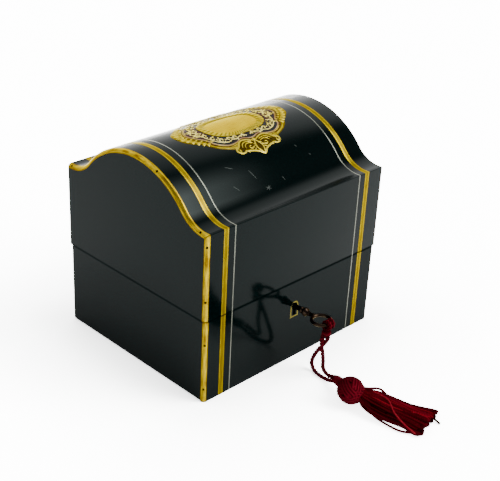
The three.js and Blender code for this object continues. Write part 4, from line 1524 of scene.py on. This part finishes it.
def stroke(path, width, height, count=None):
    """A rounded line on the dome that swells and tapers as width says."""
    path = spline(path, count or max(8, 3 * len(path)))
    shares = np.linspace(0, 1, len(path))
    half = np.interp(shares, np.linspace(0, 1, len(width)), width) / 2
    ahead = np.gradient(path, axis=0)
    ahead /= np.linalg.norm(ahead, axis=1)[:, None] + 1e-9
    side = np.stack([-ahead[:, 1], ahead[:, 0]], 1)
    points, along = [], []
    steps = np.concatenate([[0], np.cumsum(np.linalg.norm(np.diff(path, axis=0), axis=1))])
    across = np.array([-1.0, -1.0, -0.8, 0.0, 0.8, 1.0, 1.0])
    swell = STROKE_LIFT + np.array([0.0, 0.7, 1.0, 0.7, 0.0]) * height
    rises = np.array([STROKE_FOOT, *swell, STROKE_FOOT])
    edge = np.array([0.2, 0.3, 0.9, 1.0, 0.9, 0.3, 0.2])
    for i in range(len(path)):
        spot = path[i] + side[i] * (half[i] * across)[:, None]
        points.append(inlay_at(spot[:, 0], spot[:, 1], rises))
        along.append(np.stack([np.full(7, steps[i]), half[i] * across], 1))
    faces = grid_faces(len(path), 7, True)
    faces.append(list(reversed(range(7))))
    faces.append([(len(path) - 1) * 7 + k for k in range(7)])
    return np.vstack(points), faces, np.vstack(along), np.tile(edge, len(path))


# %% [markdown]
# ### Beads
# Lobes and berries are small oval domes: five rings, each smaller and higher than the one before.

# %% Beads
BEAD_SIDES = 18


def bead(centre, long, wide, angle, height):
    """A rounded oval on the dome."""
    rings = (
        (1.0, STROKE_FOOT), (1.0, STROKE_LIFT), (0.86, STROKE_LIFT + height * 0.6),
        (0.5, STROKE_LIFT + height * 0.95), (0.05, STROKE_LIFT + height),
    )
    edge = (0.15, 0.25, 0.8, 1.0, 1.0)
    turns = np.linspace(0, 2 * np.pi, BEAD_SIDES, endpoint=False)
    points, along = [], []
    for size, rise in rings:
        a, b = long * size * np.cos(turns), wide * size * np.sin(turns)
        x = centre[0] + a * math.cos(angle) - b * math.sin(angle)
        s = centre[1] + a * math.sin(angle) + b * math.cos(angle)
        points.append(inlay_at(x, s, rise))
        along.append(np.stack([a, b], 1))
    faces = grid_faces(len(rings), BEAD_SIDES, True)
    faces.append([(len(rings) - 1) * BEAD_SIDES + k for k in range(BEAD_SIDES)])
    return np.vstack(points), faces, np.vstack(along), np.repeat(edge, BEAD_SIDES)


# %% [markdown]
# ### Quarters and scrolls
# The ornament is the same in all four quarters, so it is drawn once with signs for x and s. Mirror would
# turn the faces inside out, and this way a stroke is simply drawn in its new place. A scroll
# is a short spiral.

# %% Quarters and scrolls
CURL_STEPS = 12


def mirrored(make_part):
    """The part drawn in all four quarters. make_part is given the signs of x and s."""
    return [part for a in (1, -1) for b in (1, -1) for part in make_part(a, b)]


def flip(points, a, b):
    """Points of a quarter put in another one by the signs of x and s."""
    return [(a * x, b * s) for x, s in points]


def curl(centre, radius, start, sweep, inner=0.25):
    """A scroll that winds in from radius to inner times it."""
    angles = np.radians(start + sweep * np.linspace(0, 1, CURL_STEPS))
    size = radius * np.linspace(1, inner, CURL_STEPS)
    return [(centre[0] + r * math.cos(t), centre[1] + r * math.sin(t)) for r, t in zip(size, angles)]


# %% [markdown]
# ### Border
# The border is a brass frame with three parts: a plain band with two engraved lines, lobes at the ends, and
# a crest of scrolls to the front and the back. The band's lines are too fine to cut, so they are
# drawn in its shade. The crest's ground is nearly black and its scrolls stand up from it.

# %% The border's surface
BAND_END = 27.0


def border_zone(ray):
    """For each ray: 0 on the crest, 1 on the plain band, 2 on the lobes at the ends."""
    x = np.abs(border_out[ray] * np.cos(RAYS[ray]))
    return np.where(x < CREST_HALF, 0, np.where(x < BAND_END, 1, 2))


def border_rise(share, ray):
    """Two rolls with a groove between them; the crest's ground is flat."""
    return np.where(border_zone(ray) == 0, 0.03, 0.04 + 0.16 * abs(math.sin(math.pi * 2.0 * share ** 0.8)))


def border_shade(share, ray):
    """The crest's ground is dark, the band bright with two engraved lines, the ends darker outwards."""
    zone = border_zone(ray)
    out = 1 - share
    crest = 0.04
    band = 0.12 if out < 0.14 or 0.52 < out < 0.62 else (0.95 if out > 0.62 else 0.7)
    ends = 0.1 if out < 0.2 else (0.6 if out < 0.5 else 0.1)
    return np.where(zone == 0, crest, np.where(zone == 1, band, ends))


# %% [markdown]
# ### The border's strokes
# One quarter of the lobes and scrolls, drawn from the photograph as short paths with the width
# along each.

# %% Lobes and scrolls of the border
BORDER_LOBES = (
    (28.4, -13.4), (30.6, -11.9), (32.9, -10.1), (35.0, -8.0), (36.9, -5.6), (38.3, -2.9), (39.2, 0),
)
BORDER_SCROLLS = (
    ([(16.4, -22.6), (14.6, -22.4), (13.0, -21.2), (11.4, -19.4), (9.0, -18.2), (5.6, -18.3), (2.4, -19.6),
      (0.3, -20.6)], (1.4, 1.7, 1.5, 1.2, 1.1, 0.9)),
    (curl((14.9, -24.4), 1.9, 95, -340), (1.3, 1.5, 1.2, 0.7)),
    ([(16.4, -25.2), (14.4, -26.6), (12.2, -26.6), (10.6, -25.8), (9.2, -27.4)], (0.8, 1.5, 1.2, 1.5, 0.6)),
    ([(10.4, -25.9), (7.6, -26.6), (4.8, -27.5), (2.6, -28.8), (1.0, -30.8)], (0.8, 1.5, 1.5, 1.4, 0.7)),
    ([(0.0, -20.4), (1.6, -23.0), (2.2, -25.8), (1.4, -28.4), (0.1, -31.2)], (0.8, 1.2, 1.0, 1.1, 1.2)),
    ([(3.0, -20.6), (5.4, -19.9), (8.4, -20.0), (10.6, -21.6), (11.6, -23.6)], (0.4, 0.7, 0.8, 0.7, 0.3)),
    ([(3.2, -22.0), (5.2, -21.2), (7.6, -21.4), (9.2, -22.8), (9.8, -24.4)], (0.4, 0.7, 0.7, 0.6, 0.3)),
    (curl((5.8, -24.0), 1.5, 200, 330), (0.9, 1.0, 0.8, 0.5)),
)
CREST_LEAVES = ((-22.4, 1.4), (-24.2, 2.6), (-26.0, 3.0))


def border_strokes(a, b):
    """The strokes of one quarter, with the signs of x and s for the others."""
    parts = []
    for x, s in BORDER_LOBES:
        lean = math.atan2(b * s * 1.5, a * x)
        parts.append(bead((a * x, b * s), 2.0, 1.0, lean, 0.32))
        parts.append(bead((a * (x - 3.0), b * (s * 0.9 + 0.4)), 1.2, 0.6, lean, 0.22))
    for path, width in BORDER_SCROLLS:
        parts.append(stroke(flip(path, a, b), width, 0.32))
    for s, x in CREST_LEAVES:
        leaf = [(x, s), (x + 1.1, s - 0.5), (x + 1.6, s - 1.6)]
        parts.append(stroke(flip(leaf, a, b), (0.3, 0.7, 0.2), 0.2))
    parts.append(bead((a * 0.001, b * -19.8), 1.2, 1.5, 0.0, 0.4))
    return parts


inlaid("cartouche_border", shaded([
    slab(border_ground, field + CLEAR, 16, border_rise, border_shade), *mirrored(border_strokes),
]), inlay_brass, ("cartouche_border",))

# %% [markdown]
# ### Lines and ground
# Inside the border runs a line of shell, then a pale line, then the shell ground. The shell line only
# has to lie on the border, so it is a rounded ribbon that follows the outline.

# %% Lines and ground
RAY_LENGTH = 0.3


def outline_stroke(reach, offset, width, height):
    """A line that follows an outline at a distance outside it."""
    size = reach + offset
    x, s = size * np.cos(RAYS), size * np.sin(RAYS)
    step = np.stack([np.roll(x, -1) - np.roll(x, 1), np.roll(s, -1) - np.roll(s, 1)], 1)
    step /= np.linalg.norm(step, axis=1)[:, None]
    side = np.stack([-step[:, 1], step[:, 0]], 1)
    across = np.array([-1.0, -0.7, 0.0, 0.7, 1.0])
    rises = np.array([0.0, 0.7, 1.0, 0.7, 0.0]) * height + 0.02
    points, along = [], []
    for i in range(len(RAYS)):
        spot = np.array([x[i], s[i]]) + side[i] * (across * width / 2)[:, None]
        points.append(inlay_at(spot[:, 0], spot[:, 1], rises))
        along.append(np.stack([np.full(5, i * RAY_LENGTH), across * width / 2], 1))
    faces = grid_faces(len(RAYS), 5, False)
    last = (len(RAYS) - 1) * 5
    faces += [(last + k, last + k + 1, k + 1, k) for k in range(4)]
    return np.vstack(points), faces, np.vstack(along)


def even(level):
    """The same height or shade all over."""
    return lambda share, ray: np.full(len(ray), level)


inlaid("cartouche_border_line", outline_stroke(field, 1.0, 0.8, 0.25), shell_red)
inlaid("cartouche_line", slab(field, field - 0.75, 4, even(0.1), even(1.0)), pale_line, ("cartouche_line",))
ground = slab(field - 0.8, rim_out + CLEAR, 5, even(0.0), even(1.0))
inlaid("cartouche_ground", ground, shell_red, ("cartouche_ground",))

# %% [markdown]
# ### Foliage
# Brass scrolls and leaves run over the shell. In the photograph they are a few pixels wide, so the
# design is a plain one: a stem that runs round the ground, a scroll at each bend, and three leaves on it.

# %% Foliage
LEAF_REACH = 1.75
LEAF_LEAN = 0.45


def foliage(a, b):
    """Scrolls and leaves that run round the ground between the rim and the line."""
    parts = []
    stems = (
        [(1.2, -15.2), (4.0, -13.9), (7.0, -14.6), (9.6, -15.6), (12.2, -15.0)],
        [(12.2, -15.0), (15.0, -15.9), (18.6, -15.4), (21.8, -13.6), (24.0, -11.0)],
        [(24.0, -11.0), (25.6, -8.0), (26.2, -5.0), (28.4, -2.4), (30.6, 0.0)],
    )
    for stem in stems:
        parts.append(stroke(flip(stem, a, b), (0.5, 0.8, 0.8, 0.5), 0.12))
    curls = (
        ((3.6, -14.6), 1.3, 20, 300), ((9.2, -13.9), 1.75, -80, 330), ((13.9, -13.7), 1.6, 200, -320),
        ((18.6, -13.0), 1.9, -90, 330), ((22.6, -10.0), 1.8, 150, -320), ((24.6, -5.4), 1.7, -60, 320),
        ((26.6, -1.6), 1.5, 200, -310), ((29.6, -3.6), 1.3, 30, 300),
    )
    for centre, radius, start, sweep in curls:
        parts.append(stroke(flip(curl(centre, radius, start, sweep), a, b), (0.5, 0.95, 1.05, 0.7), 0.22))
        for lean in (-40, 60, 150):
            base = math.radians(start + lean)
            root = (centre[0] + radius * math.cos(base), centre[1] + radius * math.sin(base))
            far = radius * LEAF_REACH
            tip = (centre[0] + far * math.cos(base + LEAF_LEAN), centre[1] + far * math.sin(base + LEAF_LEAN))
            middle = ((root[0] + tip[0]) / 2 + 0.15, (root[1] + tip[1]) / 2 - 0.1)
            parts.append(stroke(flip([root, middle, tip], a, b), (0.4, 0.95, 0.15), 0.18, count=7))
    return parts


inlaid("cartouche_foliage", shaded(mirrored(foliage)), leaf_brass)

# %% [markdown]
# ### Rim and plate
# The plate in the middle is plain, with a rim of gadroons: short rounded lobes, cut side by side. Each
# could be a bead, but 48 of them merge into a ring, so the ring's height swings instead. The plate
# falls a little towards its edge, as a plate does whose edge has been polished for years.

# %% Rim and plate
GADROONS = 24


def rim_lobes(ray):
    """How high the rim stands at each ray, 0 between two lobes and 1 on one."""
    return np.abs(np.sin(RAYS[ray] * GADROONS)) ** 0.7


def rim_rise(share, ray):
    """Gadroons round the plate: lobes across, rounded from inside to outside."""
    return 0.05 + 0.42 * math.sin(math.pi * (0.12 + 0.76 * share)) * (0.25 + 0.75 * rim_lobes(ray))


def rim_shade(share, ray):
    """Painted shade between the gadroons, darker towards the plate, and a dark line along the rim's outer
    edge.
    """
    if share > 0.9:
        return np.full(len(ray), 0.25)
    return np.clip(1.15 * rim_lobes(ray) + 0.5 * share - 0.35, 0.05, 1)


rim = slab(rim_out, rim_in + CLEAR, 9, rim_rise, rim_shade)
inlaid("cartouche_rim", rim, inlay_brass, ("cartouche_rim",))
plate = disc(rim_in, 10, lambda share: np.full(1, 0.12 - 0.08 * share ** 3))
inlaid("cartouche_plate", plate, plate_brass, ("cartouche_plate",))

# %% [markdown]
# ## The CAD's own pieces that stay
# Escutcheon, lock, keep and hinges are simple flat parts, and the CAD's meshes are fine enough for them.
# They only need their finish: worn brass that has gone dark.

# %% Fittings
def relook(name, material):
    """Gives a CAD node its finish."""
    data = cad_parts[name].data
    for index in range(len(data.materials)):
        data.materials[index] = material
    print(name, "is now", material.name)


relook("escutcheon", line_brass)
for name in ("lock", "lock_keep"):
    relook(name, fitting_brass)
for side in ("left", "right"):
    for part in ("hinge_base_leaf", "hinge_lid_leaf", "hinge_pin"):
        relook(f"{part}_{side}", fitting_brass)

# %% [markdown]
# ## The base's eased arrises
# On the real box the sharp edges have been rubbed round. The base could be built again, but its CAD mesh is
# right in all but its edges. So a copy of it is merged into whole faces, its free outer edges are
# selected by their place, and they are bevelled as with a file. Edges that carry a band, a line
# or the moulding are left alone.

# %% A merged copy of the base
EASE = 1.4
EASE_STEPS = 6
FLAT_ANGLE = math.radians(0.2)
SAME_PLACE = 0.000001
NEAR = 0.01

base_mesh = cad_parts["base_box"].data.copy()
base_box = bpy.data.objects.new("base_box_fine", base_mesh)
bpy.context.scene.collection.objects.link(base_box)
bpy.ops.object.select_all(action="DESELECT")
base_box.select_set(True)
bpy.context.view_layer.objects.active = base_box
bpy.ops.object.mode_set(mode="EDIT")
bpy.ops.mesh.select_all(action="SELECT")
bpy.ops.mesh.remove_doubles(threshold=SAME_PLACE)
bpy.ops.mesh.dissolve_limited(angle_limit=FLAT_ANGLE)
bpy.ops.mesh.select_all(action="DESELECT")
bpy.ops.mesh.select_mode(type="EDGE")
bpy.ops.object.mode_set(mode="OBJECT")
print("base_box: whole faces", len(base_mesh.polygons))

# %% [markdown]
# ### Which edges are eased
# Each free edge is the line where two outer faces meet: the two ends' and the back's lower edges, both back
# corners and the right front corner. An edge of the mesh belongs to it when both its ends lie on it.

# %% Eased edges
X, Y, Z = 0, 1, 2
free_lines = (
    (X, -HALF_BASE, Z, 0.0), (X, HALF_BASE, Z, 0.0), (Y, BACK_Y, Z, 0.0),
    (X, -HALF_BASE, Y, BACK_Y), (X, HALF_BASE, Y, BACK_Y), (X, HALF_BASE, Y, FRONT_Y),
)


def on_edge(a, b, first, first_level, second, second_level):
    """Whether an edge's two ends lie on the line where two outer faces meet."""
    return all(
        abs(end[first] - first_level) < NEAR and abs(end[second] - second_level) < NEAR for end in (a, b)
    )


eased = 0
for edge in base_mesh.edges:
    ends = [np.array(base_mesh.vertices[index].co) / MM for index in edge.vertices]
    edge.select = any(on_edge(*ends, *line) for line in free_lines)
    eased += edge.select
bpy.ops.object.mode_set(mode="EDIT")
bpy.ops.mesh.bevel(offset=EASE * MM, segments=EASE_STEPS, affect="EDGES")
bpy.ops.object.mode_set(mode="OBJECT")
bpy.ops.object.shade_flat()
base_mesh.materials.clear()
base_mesh.materials.append(lacquer)
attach(base_box, "base")
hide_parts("base_box")
print("base_box: edges eased", eased, "faces", len(base_mesh.polygons))

# %% [markdown]
# ## Floor
# The box stands on a white sheet that runs into a white wall. A curved backdrop would do, but the box has
# to look right from all sides, so the floor is a very large plane that glows: little near the box,
# where a soft shadow round its foot is painted into the glow, and fully white some way off.

# %% A white floor
FLOOR_HALF = 12000.0
FLOOR_DROP = -0.01
PAINTED_SHADOW_LENGTH = 150.0
SHADE_HALF_X = 68
SHADE_HALF_Y = 57
FLOOR_GLOW = 5.0

floor_white, floor_tree, floor_shader = principled("floor_white")
spot = node(floor_tree, "ShaderNodeSeparateXYZ", {"Vector": place(floor_tree)}).outputs


def beyond(axis, edge):
    """The square of how far a point of the floor lies outside the box along one axis."""
    size = node(floor_tree, "ShaderNodeMath", {0: spot[axis]}, operation="ABSOLUTE")
    extra = node(floor_tree, "ShaderNodeMath", {0: size.outputs[0], 1: edge}, operation="SUBTRACT")
    kept = node(floor_tree, "ShaderNodeMath", {0: extra.outputs[0], 1: 0}, operation="MAXIMUM")
    return node(floor_tree, "ShaderNodeMath", {0: kept.outputs[0], 1: 2}, operation="POWER").outputs[0]


total = node(floor_tree, "ShaderNodeMath", {
    0: beyond("X", SHADE_HALF_X), 1: beyond("Y", SHADE_HALF_Y),
}, operation="ADD")
away = node(floor_tree, "ShaderNodeMath", {0: total.outputs[0]}, operation="SQRT")
reach = node(floor_tree, "ShaderNodeMath", {0: away.outputs[0], 1: PAINTED_SHADOW_LENGTH}, operation="DIVIDE")
# Painted shadow: the glow is low at the box's foot and rises to full white some way off.
painted_shadow_fade = [(0.0, 0.13), (0.09, 0.32), (0.22, 0.7), (0.55, 1.0)]
floor_glow_and_painted_shadow = node(floor_tree, "ShaderNodeValToRGB", {"Fac": reach.outputs[0]}, painted_shadow_fade)
feed(floor_tree, floor_shader, {
    "Base Color": linear("f3f3f3"),
    "Roughness": 0.8,
    "Metallic": 0.0,
    "Specular IOR Level": 0.0,
    "Emission Color": floor_glow_and_painted_shadow.outputs["Color"],
    "Emission Strength": FLOOR_GLOW,
})
corners = [(x * FLOOR_HALF, y * FLOOR_HALF, FLOOR_DROP) for x, y in ((-1, -1), (1, -1), (1, 1), (-1, 1))]
make("floor", corners, [(0, 1, 2, 3)], floor_white, None)

# %% [markdown]
# ## Light
# A broad lamp overhead lifts the upper surfaces a little. The rest of the light comes from the room.

# %% The lamp
lamp_data = bpy.data.lights.new("overhead", "AREA")
lamp_data.shape = "RECTANGLE"
lamp_data.size = lamp_data.size_y = 0.8
lamp_data.energy = 16
lamp = bpy.data.objects.new("overhead", lamp_data)
bpy.context.scene.collection.objects.link(lamp)
lamp.location = (0.3, 0.1, 2.2)
lamp.rotation_euler = (-lamp.location).to_track_quat("-Z", "Y").to_euler()
print("lamp", lamp_data.energy, "W at", tuple(lamp.location))

# %% [markdown]
# ## The room
# Black polish shows what stands round it: here a white wall behind, a dark gap overhead and one bright window
# to the front right. They could be real planes, but planes would get in the way of other views. So
# the room is painted on the sky by direction: a ramp over the height for the walls, and two ramps
# multiplied for the window. The height's turn goes from the front horizon, 0, over straight up, 0.5, to
# the back horizon, 1.

# %% Walls and window
WINDOW_LIGHT = 80.0
WALL_LIGHT = 10.5

world = bpy.data.worlds.new("studio")
bpy.context.scene.world = world
world.use_nodes = True
room = world.node_tree
sky = node(room, "ShaderNodeTexCoord", {}).outputs["Generated"]
direction = node(room, "ShaderNodeSeparateXYZ", {"Vector": sky}).outputs
to_front = node(room, "ShaderNodeMath", {0: direction["Y"], 1: -1.0}, operation="MULTIPLY").outputs[0]
angle = node(room, "ShaderNodeMath", {0: direction["Z"], 1: to_front}, operation="ARCTAN2").outputs[0]
half_turns = node(room, "ShaderNodeMath", {0: angle, 1: math.pi}, operation="DIVIDE").outputs[0]
walls = node(room, "ShaderNodeValToRGB", {"Fac": half_turns}, [
    (0.0, 0.2), (0.3, 0.13), (0.48, 0.08), (0.52, 0.2), (0.56, 0.5), (0.6, 0.85), (0.64, 1.0),
]).outputs["Color"]
window_height = node(room, "ShaderNodeValToRGB", {"Fac": half_turns}, [
    (0.1, 0.0), (0.17, 1.0), (0.355, 1.0), (0.42, 0.5), (0.455, 0.28), (0.49, 0.1), (0.53, 0.0),
]).outputs["Color"]
window_width = node(room, "ShaderNodeValToRGB", {"Fac": direction["X"]}, [
    (0.1, 0.0), (0.45, 1.0), (0.61, 1.0), (0.63, 0.55), (0.65, 0.5), (0.69, 0.3), (0.71, 0.15), (0.74, 0.0),
]).outputs["Color"]

# %% [markdown]
# ### How bright they are
# The window is about eight times as bright as the white wall, as daylight is next to a lit room.

# %% The room's light
window = node(room, "ShaderNodeMath", {0: window_height, 1: window_width}, operation="MULTIPLY").outputs[0]
window_light = node(room, "ShaderNodeMath", {0: window, 1: WINDOW_LIGHT}, operation="MULTIPLY").outputs[0]
wall_light = node(room, "ShaderNodeMath", {0: walls, 1: WALL_LIGHT}, operation="MULTIPLY").outputs[0]
all_light = node(room, "ShaderNodeMath", {0: window_light, 1: wall_light}, operation="ADD").outputs[0]
feed(room, room.nodes["Background"], {"Color": (0.98, 1.0, 0.985, 1), "Strength": all_light})
print("room", len(room.nodes), "nodes")
